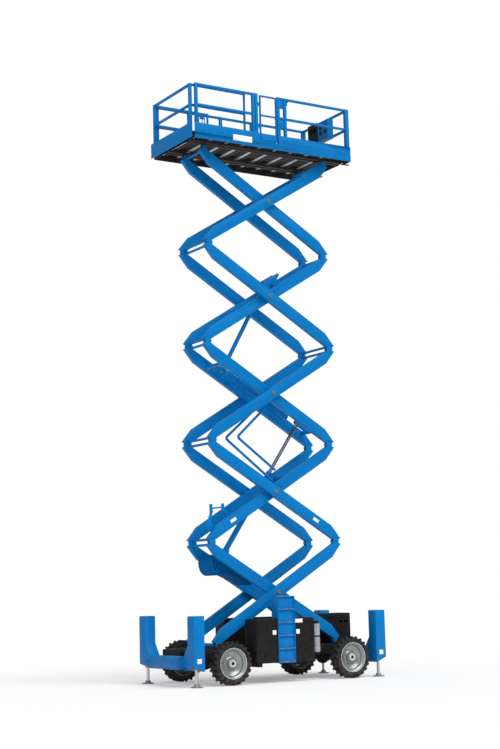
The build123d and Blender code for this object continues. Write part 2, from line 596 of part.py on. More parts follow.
def platform_rails():
    """Guard rails of the main deck; the near side leaves the entry open."""
    side = 84.0
    end = PLAT_X[1] - PLAT_WALL - RAIL_INSET - side / 2
    left, right = GATE_X[0] - POST_S / 2, GATE_X[1] + POST_S / 2
    rails = rails_along(RAIL_Y - 12, [(x, POST_S) for x in (-1883, -1100, -300, 500, 1240)] + [(end, side)])
    rails += rails_along(-RAIL_Y, ((-1883, POST_S), (left - 74, POST_S), (left, POST_S)))
    rails += rails_along(-RAIL_Y, ((right, POST_S), (right + 170, POST_S)))
    rails += rails_along(12 - RAIL_Y, ((end, side),))
    for z in (MID_RAIL, TOP_RAIL):
        rails.append(block(right + 170 + POST_S / 2, end - side / 2, -RAIL_Y - RAIL_S / 2, -RAIL_Y + RAIL_S / 2,
                           z - RAIL_S / 2, z + RAIL_S / 2))
        rails.append(block(right + POST_S / 2, right + 170 - POST_S / 2, -RAIL_Y - 10, -RAIL_Y + 10,
                           z - RAIL_S / 2 - 190, z - RAIL_S / 2))
    return rails + rails_across(end, RAIL_Y - 12 - side / 2) + [gate_pintle(PLAT_FLOOR + z) for z in GATE_HINGES]


def extension_deck():
    """Roll-out deck with its own rails, inside the main ones."""
    x0, x1 = EXT_X
    y = RAIL_Y - POST_S / 2 - EXT_INSET
    z0 = PLAT_FLOOR + EXT_GAP
    z1 = z0 + FLOOR_T
    pieces = [block(x0 - 16, x1, -y - POST_S / 2, y + POST_S / 2, z0, z1),
              block(x0 - 24, x0 - 16, -PLAT_Y, PLAT_Y, PLAT_FOOT + 10, TOE_TOP)]
    for s in (-1, 1):
        pieces.append(block(x0 + 100, x1, s * 600 - 30, s * 600 + 30, PLAT_FLOOR + PIN_FIT, z0))
        pieces += rails_along(s * y, ((x0 + 14, POST_S), (x1 - 24, 36.0)), z1, 36.0)
    return pieces + rails_across(x0 + 14, y - POST_S / 2)


def entry_gate():
    """Entry gate, with hinge rings round the pintles."""
    x0, x1 = GATE_X[0] + 52, GATE_X[1] - 8
    half, z0, z1 = GATE_S / 2, PLAT_FLOOR + 40, TOP_RAIL + 6
    pieces = [block(x - half, x + half, -RAIL_Y - half, -RAIL_Y + half, z0, z1) for x in (x0 + half, x1 - half)]
    pieces += [block(x0 + GATE_S, x1 - GATE_S, -RAIL_Y - half, -RAIL_Y + half, z, z + GATE_S)
               for z in (z0, MID_RAIL - half, z1 - GATE_S)]
    for rise in GATE_HINGES:
        z = PLAT_FLOOR + rise
        ring = block(GATE_HINGE_X, x0, -RAIL_Y - 6, -RAIL_Y + 6, z, z + 50) + rod_z(
            GATE_PIN_R + 9, z, z + 50, GATE_HINGE_X, -RAIL_Y)
        pieces.append(ring - rod_z(GATE_PIN_R + PIN_FIT, z - 1, z + 51, GATE_HINGE_X, -RAIL_Y))
    return pieces


def control_box():
    """Control and outlet boxes, hung side by side on the end rails."""
    x1 = PLAT_X[1] - PLAT_WALL - RAIL_INSET - 42 - RAIL_S / 2 - PIN_FIT
    return [rounded(x1 - depth, x1, y0, y1, PLAT_FLOOR + z0, PLAT_FLOOR + z1, 15)
            for y0, y1, depth, z0, z1 in CONTROL_BOXES]


# ---------------------------------------------------------------- build
def main():
    os.makedirs("parts", exist_ok=True)
    write("chassis_frame", *chassis_frame())
    write("rear_outrigger_frame", outrigger_frame(TOWER_X[0]))
    write("front_outrigger_frame", outrigger_frame(TOWER_X[1]))
    write("rear_axle", axle(REAR_AXLE_X, False))
    write("front_axle", axle(FRONT_AXLE_X, True))
    for name, side in (("near", -1), ("far", 1)):
        write(f"{name}_knuckle", knuckle(side))
        for end, x in (("rear", REAR_AXLE_X), ("front", FRONT_AXLE_X)):
            write(f"{end}_{name}_tyre", tyre(x, side))
            write(f"{end}_{name}_rim", *rim(x, side))
        for end, x in (("rear", TOWER_X[0]), ("front", TOWER_X[1])):
            write(f"{end}_{name}_outrigger_leg", outrigger_leg(x, side))
    write("near_module", near_module())
    write("engine_cover", engine_cover())
    write("engine", engine())
    write("end_tank_box", end_box())
    write("ladder", ladder())
    write("canister", canister())
    for arm in ARMS:
        write(f"stage_{arm.stage}_{'outer' if arm.plane == OUTER_Y else 'inner'}_arms", make_arm(arm))
    for ram in RAMS:
        barrel, rod = ram_bodies(ram)
        write(f"{ram.name}_barrel", barrel)
        write(f"{ram.name}_rod", rod)
    write("platform_deck", *platform_deck())
    write("platform_rails", *platform_rails())
    write("extension_deck", *extension_deck())
    write("entry_gate", *entry_gate())
    write("control_box", *control_box())
    print("pins", BASE_X, FAR_X, BASE_Z, STEP, TOP_Z, "tilt", TILT, "rise", PIN_RISE)
    for ram in RAMS:
        print(ram.name, arm_point(ram.foot), arm_point(ram.head))


if __name__ == "__main__":
    main()
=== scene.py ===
"""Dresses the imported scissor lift: finishes, tyres, rims, pins, panels, treads and small fittings."""
from __future__ import annotations

import json
import logging
import math
from contextlib import contextmanager
from dataclasses import dataclass
from enum import Enum
from typing import Callable, Iterator, Sequence

import bpy
from mathutils import Matrix, Vector

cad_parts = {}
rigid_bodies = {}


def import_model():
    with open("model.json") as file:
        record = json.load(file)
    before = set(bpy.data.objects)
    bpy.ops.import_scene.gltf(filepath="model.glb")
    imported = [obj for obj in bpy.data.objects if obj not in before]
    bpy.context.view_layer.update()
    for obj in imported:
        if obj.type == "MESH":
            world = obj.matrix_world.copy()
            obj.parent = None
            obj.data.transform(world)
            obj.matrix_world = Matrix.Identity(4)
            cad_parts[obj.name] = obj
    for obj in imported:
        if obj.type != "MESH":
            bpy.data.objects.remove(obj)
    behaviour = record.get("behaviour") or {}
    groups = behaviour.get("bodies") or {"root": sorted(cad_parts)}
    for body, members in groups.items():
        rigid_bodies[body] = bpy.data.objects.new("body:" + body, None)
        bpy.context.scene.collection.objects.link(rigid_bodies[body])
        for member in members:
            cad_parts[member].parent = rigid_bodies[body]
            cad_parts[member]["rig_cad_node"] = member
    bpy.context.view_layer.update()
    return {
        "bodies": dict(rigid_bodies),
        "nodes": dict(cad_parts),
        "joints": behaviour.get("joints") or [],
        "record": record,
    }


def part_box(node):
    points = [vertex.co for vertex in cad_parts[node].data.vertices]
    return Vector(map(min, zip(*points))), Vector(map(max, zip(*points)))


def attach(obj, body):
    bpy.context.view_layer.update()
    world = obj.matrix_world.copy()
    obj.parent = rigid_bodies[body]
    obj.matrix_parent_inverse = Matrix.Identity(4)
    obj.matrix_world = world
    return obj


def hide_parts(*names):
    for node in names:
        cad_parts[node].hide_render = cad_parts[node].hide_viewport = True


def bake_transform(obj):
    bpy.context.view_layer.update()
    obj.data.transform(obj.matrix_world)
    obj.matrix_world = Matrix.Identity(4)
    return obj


LOG = logging.getLogger("scissor_lift")
Point = Sequence[float]
Pair = tuple[float, float]
Outline = Sequence[Pair]
Colour = tuple[float, float, float]
Obj = bpy.types.Object
Socket = bpy.types.NodeSocket
Feed = float | tuple[float, ...] | Socket
ENDS = ("rear", "front")


class Slot(Enum):
    """The record's material slots."""

    BLUE = "blue_paint"
    BLACK = "black_paint"
    COVER = "black_plastic"
    RUBBER = "tyre_rubber"
    RIM = "rim_paint"
    CHROME = "chrome"
    STEEL = "dark_steel"
    ENGINE = "engine_grey"
    CANISTER = "canister_grey"


class Side(Enum):
    """Near side is -Y, far side is +Y."""

    NEAR = -1
    FAR = 1


def facing(side: Side) -> Matrix:
    """Turn that makes a part which looks to +Y look to its own side."""
    return Matrix.Identity(4) if side is Side.FAR else Matrix.Rotation(math.pi, 4, "Z")


def upright(x: float, y: float, z: float = 0.0) -> Matrix:
    """Stands a part that was turned about Y on a place, its +Y end up."""
    return Matrix.Translation((x, y, z)) @ Matrix.Rotation(math.radians(90), 4, "X")


# ------------------------------------------------------------------ nodes
class Net:
    """Node tree with short ways to add nodes and to feed their inputs."""

    def __init__(self, tree: bpy.types.NodeTree) -> None:
        """Takes the tree."""
        self.tree = tree

    def add(self, kind: str) -> bpy.types.Node:
        """Adds a node."""
        return self.tree.nodes.new(kind)

    def feed(self, node: bpy.types.Node, feeds: dict[str | int, Feed]) -> None:
        """Joins sockets to a node's inputs, or sets the inputs to constants.

        Args:
            node: The node.
            feeds: Each input's name or number, with what feeds it.
        """
        for label, value in feeds.items():
            if isinstance(value, Socket):
                self.tree.links.new(value, node.inputs[label])
            else:
                node.inputs[label].default_value = value

    def here(self) -> Socket:
        """Object coordinates."""
        return self.add("ShaderNodeTexCoord").outputs["Object"]

    def noise(self, scale: Feed, detail: float) -> Socket:
        """Noise on Object coordinates."""
        node = self.add("ShaderNodeTexNoise")
        self.feed(node, {"Vector": self.here(), "Scale": scale, "Detail": detail})
        return node.outputs["Fac"]

    def seen(self) -> Socket:
        """One for the camera's own rays and nothing for all others."""
        return self.add("ShaderNodeLightPath").outputs["Is Camera Ray"]

    def ranged(self, value: Socket, start: Pair, end: Pair = (0.0, 1.0), easing: str = "LINEAR") -> Socket:
        """Moves a value from one range to another.

        Args:
            value: The value.
            start: Its lowest and highest.
            end: What they become.
            easing: How it runs between them.

        Returns:
            The new value.
        """
        node = self.add("ShaderNodeMapRange")
        node.interpolation_type = easing
        self.feed(node, {"Value": value, "From Min": start[0], "From Max": start[1],
                         "To Min": end[0], "To Max": end[1]})
        return node.outputs["Result"]

    def maths(self, kind: str, first: Feed, second: Feed) -> Socket:
        """Sum, product or quotient of two values.

        Args:
            kind: The operation.
            first: The first value.
            second: The second value.

        Returns:
            The result.
        """
        node = self.add("ShaderNodeMath")
        node.operation = kind
        self.feed(node, {0: first, 1: second})
        return node.outputs["Value"]

    def mixed(self, share: Socket, first: Feed, second: Feed) -> Socket:
        """Colour between two colours.

        Args:
            share: The second colour's share.
            first: The first colour.
            second: The second colour.

        Returns:
            The colour.
        """
        node = self.add("ShaderNodeMix")
        node.data_type = "RGBA"
        self.feed(node, {"Factor": share, 6: first, 7: second})
        return node.outputs[2]

    def group(self, tree: bpy.types.NodeTree, feeds: dict[str, Feed]) -> bpy.types.NodeOutputs:
        """Places a shared group, feeds it and gives its outputs."""
        node = self.add("ShaderNodeGroup")
        node.node_tree = tree
        self.feed(node, feeds)
        return node.outputs


class ShaderGroups:
    """Node groups that more than one finish uses."""

    COLOUR, NUMBER = "NodeSocketColor", "NodeSocketFloat"

    def __init__(self) -> None:
        """Builds each group once."""
        self.mottle = self._mottle()
        self.grain = self._grain()
        self.dust = self._dust()
        self.worn_lit_edges = self._worn_lit_edges()

    def _start(self, name: str, colours: Sequence[str], numbers: Sequence[str],
               results: dict[str, str]) -> tuple:
        """Opens a group with its sockets.

        Args:
            name: The group's name.
            colours: Its colour inputs.
            numbers: Its number inputs.
            results: Its outputs, with their kinds.

        Returns:
            The group's net, what its inputs give, and its output node.
        """
        net = Net(bpy.data.node_groups.new(name, "ShaderNodeTree"))
        sockets = [(label, "INPUT", self.COLOUR) for label in colours]
        sockets += [(label, "INPUT", self.NUMBER) for label in numbers]
        sockets += [(label, "OUTPUT", kind) for label, kind in results.items()]
        for label, way, kind in sockets:
            net.tree.interface.new_socket(label, in_out=way, socket_type=kind)
        return net, net.add("NodeGroupInput").outputs, net.add("NodeGroupOutput")

    def _mottle(self) -> bpy.types.NodeTree:
        """Slow change of colour and of sheen over a painted face."""
        net, given, out = self._start("mottle", ("Colour",), ("Spread", "Scale", "Roughness", "Rough Spread"),
                                      {"Colour": self.COLOUR, "Roughness": self.NUMBER})
        swing = net.ranged(net.noise(given["Scale"], 4.0), (0.3, 0.7), (-1.0, 1.0))
        shade = net.add("ShaderNodeHueSaturation")
        value = net.maths("ADD", net.maths("MULTIPLY", swing, given["Spread"]), 1.0)
        net.feed(shade, {"Value": value, "Color": given["Colour"]})
        rough = net.maths("ADD", net.maths("MULTIPLY", swing, given["Rough Spread"]), given["Roughness"])
        net.feed(out, {"Colour": shade.outputs["Color"], "Roughness": rough})
        return net.tree

    def _grain(self) -> bpy.types.NodeTree:
        """Fine height: orange peel, moulding grain or cast skin."""
        net, given, out = self._start("grain", (), ("Scale", "Coarse"), {"Height": self.NUMBER})
        fine = net.noise(given["Scale"], 2.0)
        coarse = net.noise(net.maths("MULTIPLY", given["Scale"], 0.12), 3.0)
        net.feed(out, {"Height": net.maths("ADD", fine, net.maths("MULTIPLY", coarse, given["Coarse"]))})
        return net.tree

    def _dust(self) -> bpy.types.NodeTree:
        """Road dust that thins out with height over the ground."""
        net, given, out = self._start("dust", ("Colour", "Dust"), ("Top", "Amount"), {"Colour": self.COLOUR})
        split = net.add("ShaderNodeSeparateXYZ")
        net.feed(split, {"Vector": net.here()})
        fade = net.ranged(net.maths("DIVIDE", split.outputs["Z"], given["Top"]), (0.0, 1.0), (1.0, 0.0))
        patch = net.ranged(net.noise(9.0, 5.0), (0.35, 0.75))
        share = net.maths("MULTIPLY", net.maths("MULTIPLY", fade, patch), given["Amount"])
        net.feed(out, {"Colour": net.mixed(share, given["Colour"], given["Dust"])})
        return net.tree

    def _worn_lit_edges(self) -> bpy.types.NodeTree:
        """Paint made lighter along outside edges: partly edge wear, partly a painted highlight on the edges'
        rounding.
        """
        net, given, out = self._start("rubbed_edges", ("Colour", "Bare"), ("Amount",),
                                      {"Colour": self.COLOUR})
        # Painted highlight: convex edges, found by pointiness, take the lighter colour; the noise breaks it
        # into wear-like patches.
        edge = net.ranged(net.add("ShaderNodeNewGeometry").outputs["Pointiness"], (0.53, 0.62))
        worn = net.ranged(net.noise(14.0, 6.0), (0.42, 0.62))
        share = net.maths("MULTIPLY", net.maths("MULTIPLY", edge, worn), given["Amount"])
        net.feed(out, {"Colour": net.mixed(share, given["Colour"], given["Bare"])})
        return net.tree


# ------------------------------------------------------------------ finishes
@dataclass(frozen=True)
class Finish:
    """One painted, moulded or metal finish."""

    name: str
    colour: Colour
    roughness: float
    slot: Slot | None = None
    metallic: float = 0.0
    spread: float = 0.06
    patch: float = 1.6
    grain: float = 220.0
    depth: float = 0.0002
    dust: float = 0.0
    dust_top: float = 1.0
    # Lighter outside edges, partly edge wear and partly painted highlight: how much of it, and the lighter
    # colour.
    edge_wear_and_highlight: float = 0.25
    bare: Colour = (0.35, 0.42, 0.5)
    specular: float = 0.3

    ROUGH_SPREAD = 0.05
    COARSE_GRAIN = 0.4
    BUMP_STRENGTH = 0.6
    ROAD_DUST = (0.30, 0.26, 0.21, 1.0)

    def material(self, groups: ShaderGroups) -> bpy.types.Material:
        """Builds the finish's material.

        Args:
            groups: The shared shader groups.

        Returns:
            The new material.
        """
        made = bpy.data.materials.new(self.name)
        made.use_nodes = True
        net = Net(made.node_tree)
        painted = net.group(groups.mottle, {
            "Colour": (*self.colour, 1.0), "Spread": self.spread, "Scale": self.patch,
            "Roughness": self.roughness, "Rough Spread": self.ROUGH_SPREAD})
        colour = painted["Colour"]
        # Lighter outside edges: edge wear together with a painted highlight.
        if self.edge_wear_and_highlight > 0:
            colour = net.group(groups.worn_lit_edges, {
                "Colour": colour, "Bare": (*self.bare, 1.0), "Amount": self.edge_wear_and_highlight})["Colour"]
        if self.dust > 0:
            colour = net.group(groups.dust, {
                "Colour": colour, "Dust": self.ROAD_DUST, "Top": self.dust_top,
                "Amount": self.dust})["Colour"]
        height = net.group(groups.grain, {"Scale": self.grain, "Coarse": self.COARSE_GRAIN})["Height"]
        bump = net.add("ShaderNodeBump")
        net.feed(bump, {"Distance": self.depth, "Strength": self.BUMP_STRENGTH, "Height": height})
        net.feed(made.node_tree.nodes["Principled BSDF"], {
            "Metallic": self.metallic, "Specular IOR Level": self.specular, "Base Color": colour,
            "Roughness": painted["Roughness"], "Normal": bump.outputs["Normal"]})
        return made


BLUE = Finish("blue_enamel", (0.0, 0.166, 0.468), 0.42, Slot.BLUE, spread=0.05, dust=0.10, dust_top=0.9,
              edge_wear_and_highlight=0.30, bare=(0.03, 0.24, 0.56), specular=0.09)
BLACK = Finish("black_enamel", (0.008, 0.008, 0.009), 0.46, Slot.BLACK, dust=0.16, dust_top=1.1,
               edge_wear_and_highlight=0.3, bare=(0.05, 0.05, 0.053), specular=0.14)
COVER = Finish("moulded_cover", (0.0085, 0.0080, 0.0080), 0.50, Slot.COVER, spread=0.10, grain=520.0,
               depth=0.0004, dust=0.07, dust_top=1.3, edge_wear_and_highlight=0.2, bare=(0.04, 0.04, 0.04), specular=0.13)
RUBBER = Finish("tyre_rubber", (0.014, 0.0135, 0.0135), 0.74, Slot.RUBBER, spread=0.18, patch=7.0,
                grain=400.0, depth=0.0006, dust=0.24, dust_top=0.85, edge_wear_and_highlight=0.35, bare=(0.08, 0.075, 0.07),
                specular=0.18)
RIM = Finish("rim_enamel", (0.300, 0.325, 0.315), 0.30, Slot.RIM, metallic=0.65, spread=0.10, patch=2.5,
             dust=0.22, dust_top=0.7, edge_wear_and_highlight=0.25, bare=(0.55, 0.56, 0.55))
RIM_FLANGE = Finish("rim_flange", (0.56, 0.58, 0.56), 0.40, None, dust=0.16, dust_top=0.7, edge_wear_and_highlight=0.2,
                    bare=(0.72, 0.72, 0.72), specular=0.2)
CHROME = Finish("hard_chrome", (0.56, 0.56, 0.55), 0.20, Slot.CHROME, metallic=1.0, spread=0.03,
                patch=3.0, grain=900.0, depth=0.00002, edge_wear_and_highlight=0.0)
LIFT_ROD = Finish("lift_rod_chrome", (0.150, 0.170, 0.185), 0.24, None, metallic=1.0, spread=0.05,
                  patch=3.0, grain=900.0, depth=0.00002, edge_wear_and_highlight=0.0)
PIN_GREY = Finish("pin_heads", (0.115, 0.155, 0.185), 0.42, None, metallic=0.3, spread=0.16, patch=30.0,
                  edge_wear_and_highlight=0.3, bare=(0.30, 0.33, 0.35))
# Painted shade: the blue enamel in a darker, duller tone, for the first stage's foot bracket.
SHADED_BLUE = Finish("blue_enamel_low", (0.0, 0.115, 0.345), 0.70, None, spread=0.05, edge_wear_and_highlight=0.20,
                  bare=(0.02, 0.20, 0.50), specular=0.02)
ZINC = Finish("zinc_pins", (0.25, 0.245, 0.22), 0.42, None, metallic=0.35, spread=0.16, patch=30.0,
              edge_wear_and_highlight=0.3, bare=(0.60, 0.58, 0.52))
PALE_BAR = Finish("galvanised_bar", (0.56, 0.56, 0.55), 0.48, None, metallic=0.25, spread=0.14,
                  patch=9.0, grain=90.0, edge_wear_and_highlight=0.2, bare=(0.8, 0.8, 0.8))
DARK_STEEL = Finish("dark_steel", (0.030, 0.031, 0.033), 0.50, Slot.STEEL, metallic=0.3, dust=0.3,
                    edge_wear_and_highlight=0.3, bare=(0.20, 0.20, 0.20), specular=0.2)
# Dark finish of the deck's floor sheet and tread ribs; also painted shade on the deck frame's down-facing and
# inside faces.
DECK_SHEET_AND_SHADE = Finish("underside_steel", (0.024, 0.021, 0.020), 0.62, None, spread=0.25, patch=3.0, edge_wear_and_highlight=0.2,
               bare=(0.10, 0.09, 0.08), specular=0.2)
ENGINE = Finish("cast_engine", (0.07, 0.07, 0.07), 0.55, Slot.ENGINE, grain=160.0, depth=0.0008)
CANISTER = Finish("canister_enamel", (0.325, 0.340, 0.355), 0.38, Slot.CANISTER, spread=0.08, patch=4.0,
                  specular=0.25)
BLANK = Finish("blank_plate", (0.84, 0.84, 0.83), 0.40, None, spread=0.02, patch=12.0, edge_wear_and_highlight=0.1,
               specular=0.2)
HOSE = Finish("hose_rubber", (0.010, 0.010, 0.011), 0.60, None, spread=0.15, patch=14.0, edge_wear_and_highlight=0.0,
              specular=0.2)
RED = Finish("stop_red", (0.45, 0.010, 0.008), 0.32, None, spread=0.03, edge_wear_and_highlight=0.0)
FINISHES = (BLUE, BLACK, COVER, RUBBER, RIM, RIM_FLANGE, CHROME, ZINC, PALE_BAR, DARK_STEEL, DECK_SHEET_AND_SHADE, ENGINE,
            CANISTER, BLANK, HOSE, RED, LIFT_ROD, PIN_GREY, SHADED_BLUE)


class Paintshop:
    """All finishes, made once and looked up by their dataclass."""

    def __init__(self) -> None:
        """Mixes every finish."""
        groups = ShaderGroups()
        self.made = {finish: finish.material(groups) for finish in FINISHES}

    def paint(self, piece: Obj, finish: Finish) -> None:
        """Gives a piece one finish all over."""
        piece.data.materials.clear()
        piece.data.materials.append(self.made[finish])

    def repaint(self, piece: Obj, finish: Finish, chosen: Callable[[bpy.types.MeshPolygon], bool]) -> None:
        """Gives some faces of a painted piece a second finish.

        Args:
            piece: The painted piece.
            finish: The second finish.
            chosen: Says of a face whether it gets the second finish.
        """
        piece.data.materials.append(self.made[finish])
        for face in piece.data.polygons:
            if chosen(face):
                face.material_index = 1


# ------------------------------------------------------------------ bench
class Bench:
    """Hand tools: primitives, edit-mode shaping, modifiers and joining."""

    BEND_STEPS = (0.0, 0.25, 0.5, 0.75, 1.0)

    def __init__(self, shop: Paintshop) -> None:
        """Takes the finishes that pieces are painted with."""
        self.shop = shop

    @staticmethod
    def clear() -> None:
        """Deselects everything."""
        bpy.ops.object.select_all(action="DESELECT")

    def hold(self, piece: Obj) -> Obj:
        """Selects one object alone and makes it active."""
        self.clear()
        piece.select_set(True)
        bpy.context.view_layer.objects.active = piece
        return piece

    def settle(self, piece: Obj) -> Obj:
        """Puts the object's place, turn and scale into its mesh."""
        self.hold(piece)
        bpy.ops.object.transform_apply(location=True, rotation=True, scale=True)
        return piece

    def taken(self, name: str) -> Obj:
        """Names the primitive that was just made, and settles it."""
        piece = bpy.context.active_object
        piece.name = name
        return self.settle(piece)

    @contextmanager
    def editing(self, piece: Obj, outward: bool = False) -> Iterator[None]:
        """Edit mode with all of one object selected.

        Args:
            piece: The object.
            outward: True where the normals are turned outwards at the end.
        """
        self.hold(piece)
        bpy.ops.object.mode_set(mode="EDIT")
        bpy.ops.mesh.select_all(action="SELECT")
        yield
        if outward:
            bpy.ops.mesh.select_all(action="SELECT")
            bpy.ops.mesh.normals_make_consistent(inside=False)
        bpy.ops.object.mode_set(mode="OBJECT")

    @contextmanager
    def picked(self, piece: Obj, chosen: Callable[..., bool], faces: bool = False) -> Iterator[None]:
        """Edit mode with only those vertices or faces selected that a test chooses.

        Args:
            piece: The object.
            chosen: Says of a vertex's place, or of a face, whether it is wanted.
            faces: True where the test is of faces.
        """
        bpy.context.tool_settings.mesh_select_mode = (True, False, False)
        with self.editing(piece):
            bpy.ops.mesh.select_all(action="DESELECT")
        for part in piece.data.polygons if faces else piece.data.vertices:
            part.select = chosen(part if faces else part.co)
        bpy.ops.object.mode_set(mode="EDIT")
        yield
        bpy.ops.object.mode_set(mode="OBJECT")

    def modified(self, piece: Obj, kind: str, **settings: float | str) -> Obj:
        """Adds a modifier and applies it.

        Args:
            piece: The object.
            kind: The modifier's type.
            settings: Its settings by name.

        Returns:
            The object.
        """
        self.hold(piece)
        modifier = piece.modifiers.new(kind.lower(), kind)
        for label, value in settings.items():
            setattr(modifier, label, value)
        bpy.ops.object.modifier_apply(modifier=modifier.name)
        return piece

    def soften(self, piece: Obj, width: float, segments: int = 2, angle: float = 35.0) -> Obj:
        """Rounds edges sharper than an angle in degrees with a bevel that is applied."""
        return self.modified(piece, "BEVEL", width=width, segments=segments, limit_method="ANGLE",
                             angle_limit=math.radians(angle))

    def cube(self, name: str, middle: Point, size: Point) -> Obj:
        """Plain cube, stretched to a size.

        Args:
            name: The piece's name.
            middle: Its middle.
            size: Its lengths along X, Y and Z.

        Returns:
            The box.
        """
        self.clear()
        bpy.ops.mesh.primitive_cube_add(size=1.0, location=middle)
        bpy.context.active_object.scale = size
        return self.taken(name)

    def block(self, name: str, low: Point, high: Point, edge: float = 0.003) -> Obj:
        """Box between two corners, with its edges rounded."""
        low, high = Vector(low), Vector(high)
        return self.soften(self.cube(name, (low + high) / 2, [abs(v) for v in high - low]), edge)

    def rod(self, name: str, start: Point, end: Point, radius: float, sides: int = 32,
            edge: float = 0.002) -> Obj:
        """Round bar between the middles of its two ends.

        Args:
            name: The piece's name.
            start: Middle of one end.
            end: Middle of the other end.
            radius: Its radius.
            sides: Facets round it.
            edge: Width of the rounding at the ends.

        Returns:
            The bar.
        """
        start, end = Vector(start), Vector(end)
        run = end - start
        self.clear()
        bpy.ops.mesh.primitive_cylinder_add(
            vertices=sides, radius=radius, depth=run.length, location=(start + end) / 2,
            rotation=run.to_track_quat("Z", "Y").to_euler())
        return self.soften(self.taken(name), edge, angle=50.0)

    def chain(self, name: str, points: Sequence[Point]) -> Obj:
        """Line of edges drawn corner by corner: one vertex, extruded from point to point.

        Args:
            name: The piece's name.
            points: Its corners in order.

        Returns:
            The line.
        """
        path = [Vector(p) for p in points]
        self.clear()
        bpy.ops.mesh.primitive_plane_add(size=0.01, location=path[0])
        piece = self.taken(name)
        with self.editing(piece):
            bpy.ops.mesh.merge(type="CENTER")
            for here, there in zip(path, path[1:]):
                bpy.ops.mesh.extrude_vertices_move(TRANSFORM_OT_translate={"value": there - here})
        return piece

    def plate(self, name: str, outline: Outline, near: float, far: float, edge: float = 0.003) -> Obj:
        """Flat plate square to Y, from its outline in X and Z.

        Args:
            name: The piece's name.
            outline: Corners in order round the plate.
            near: Y of one face.
            far: Y of the other face.
            edge: Width of the rounding.

        Returns:
            The plate.
        """
        piece = self.chain(name, [(x, near, z) for x, z in outline])
        with self.editing(piece, outward=True):
            bpy.ops.mesh.edge_face_add()
            bpy.ops.mesh.extrude_region_move(TRANSFORM_OT_translate={"value": (0, far - near, 0)})
        return self.soften(piece, edge)

    def folded(self, name: str, line: Outline, half: float, thickness: float) -> Obj:
        """Folded sheet across the machine.

        Args:
            name: The piece's name.
            line: Corners of the sheet's side view in X and Z.
            half: Half its width.
            thickness: Its thickness, laid to both sides of the line.

        Returns:
            The sheet.
        """
        piece = self.chain(name, [(x, -half, z) for x, z in line])
        with self.editing(piece, outward=True):
            bpy.ops.mesh.extrude_edges_move(TRANSFORM_OT_translate={"value": (0, 2 * half, 0)})
        return self.soften(self.modified(piece, "SOLIDIFY", thickness=thickness, offset=0.0), 0.002)

    def turned(self, name: str, profile: Outline, steps: int = 64) -> Obj:
        """Turned part about Y and about the origin.

        Args:
            name: The piece's name.
            profile: Its radius and Y from one end to the other; a closed ring ends where it starts.
            steps: Facets round it.

        Returns:
            The part.
        """
        piece = self.chain(name, [(r, y, 0.0) for r, y in profile])
        with self.editing(piece, outward=True):
            bpy.ops.mesh.spin(steps=steps, angle=2 * math.pi, center=(0, 0, 0), axis=(0, 1, 0))
            bpy.ops.mesh.select_all(action="SELECT")
            bpy.ops.mesh.remove_doubles(threshold=1e-5)
        return piece

    def copied(self, piece: Obj, name: str, place: Matrix) -> Obj:
        """Copy with its own mesh.

        Args:
            piece: What is copied; it stays as it is.
            name: The copy's name.
            place: Where the copy goes.

        Returns:
            The copy.
        """
        mesh = piece.data.copy()
        mesh.transform(place)
        if place.determinant() < 0:
            mesh.flip_normals()
        copy = bpy.data.objects.new(name, mesh)
        bpy.context.collection.objects.link(copy)
        return copy

    def scrap(self, piece: Obj) -> None:
        """Removes a pattern that copies were taken from."""
        bpy.data.objects.remove(piece, do_unlink=True)

    def placed(self, pattern: Obj, name: str, place: Matrix) -> Obj:
        """Puts a part that was made about the origin in its place."""
        piece = self.copied(pattern, name, place)
        self.scrap(pattern)
        return piece

    def joined(self, name: str, parts: Sequence[Obj]) -> Obj:
        """Joins objects into one mesh.

        Args:
            name: The joined object's name.
            parts: The objects.

        Returns:
            The joined object.
        """
        self.clear()
        for part in parts:
            part.select_set(True)
        bpy.context.view_layer.objects.active = parts[0]
        if len(parts) > 1:
            bpy.ops.object.join()
        parts[0].name = parts[0].data.name = name
        return parts[0]

    def pipe(self, name: str, points: Sequence[Point], radius: float, bend: float = 0.0) -> Obj:
        """Rigid pipe along a line of points.

        Args:
            name: The piece's name.
            points: Its corners.
            radius: Its radius.
            bend: How far from a corner the pipe starts to turn.

        Returns:
            The pipe as a mesh.
        """
        path = [Vector(p) for p in points]
        if bend:
            eased = [path[0]]
            for before, corner, after in zip(path, path[1:], path[2:]):
                near = corner + (before - corner).normalized() * bend
                far = corner + (after - corner).normalized() * bend
                eased += [near.lerp(corner, t).lerp(corner.lerp(far, t), t) for t in self.BEND_STEPS]
            path = eased + [path[-1]]
        self.hold(self.chain(name, path))
        bpy.ops.object.convert(target="CURVE")
        curve = bpy.context.active_object.data
        curve.bevel_depth, curve.bevel_resolution, curve.use_fill_caps = radius, 4, True
        bpy.ops.object.convert(target="MESH")
        return bpy.context.active_object

    def bolts(self, name: str, places: Sequence[tuple[Point, Point]], size: float = 0.012) -> Obj:
        """Hexagon bolt heads on washers.

        Args:
            name: The piece's name.
            places: Foot and outward direction of each bolt.
            size: Across the head's corners, halved.

        Returns:
            All the bolts as one object.
        """
        self.clear()
        bpy.ops.mesh.primitive_cylinder_add(vertices=6, radius=1.0, depth=1.0, location=(0, 0, 0.75))
        head = self.taken("head")
        with self.picked(head, lambda face: face.normal.z > 0.9, faces=True):
            bpy.ops.mesh.inset(thickness=0.18)
            bpy.ops.transform.translate(value=(0, 0, 0.12))
        washer = self.rod("washer", (0, 0, 0), (0, 0, 0.28), 1.45, 16, 0.08)
        pattern = self.joined("bolt_pattern", [head, washer])
        copies = []
        for foot, out in places:
            turn = Vector(out).to_track_quat("Z", "Y").to_matrix().to_4x4()
            copies.append(self.copied(pattern, name, Matrix.Translation(foot) @ turn @ Matrix.Scale(size, 4)))
        self.scrap(pattern)
        return self.joined(name, copies)

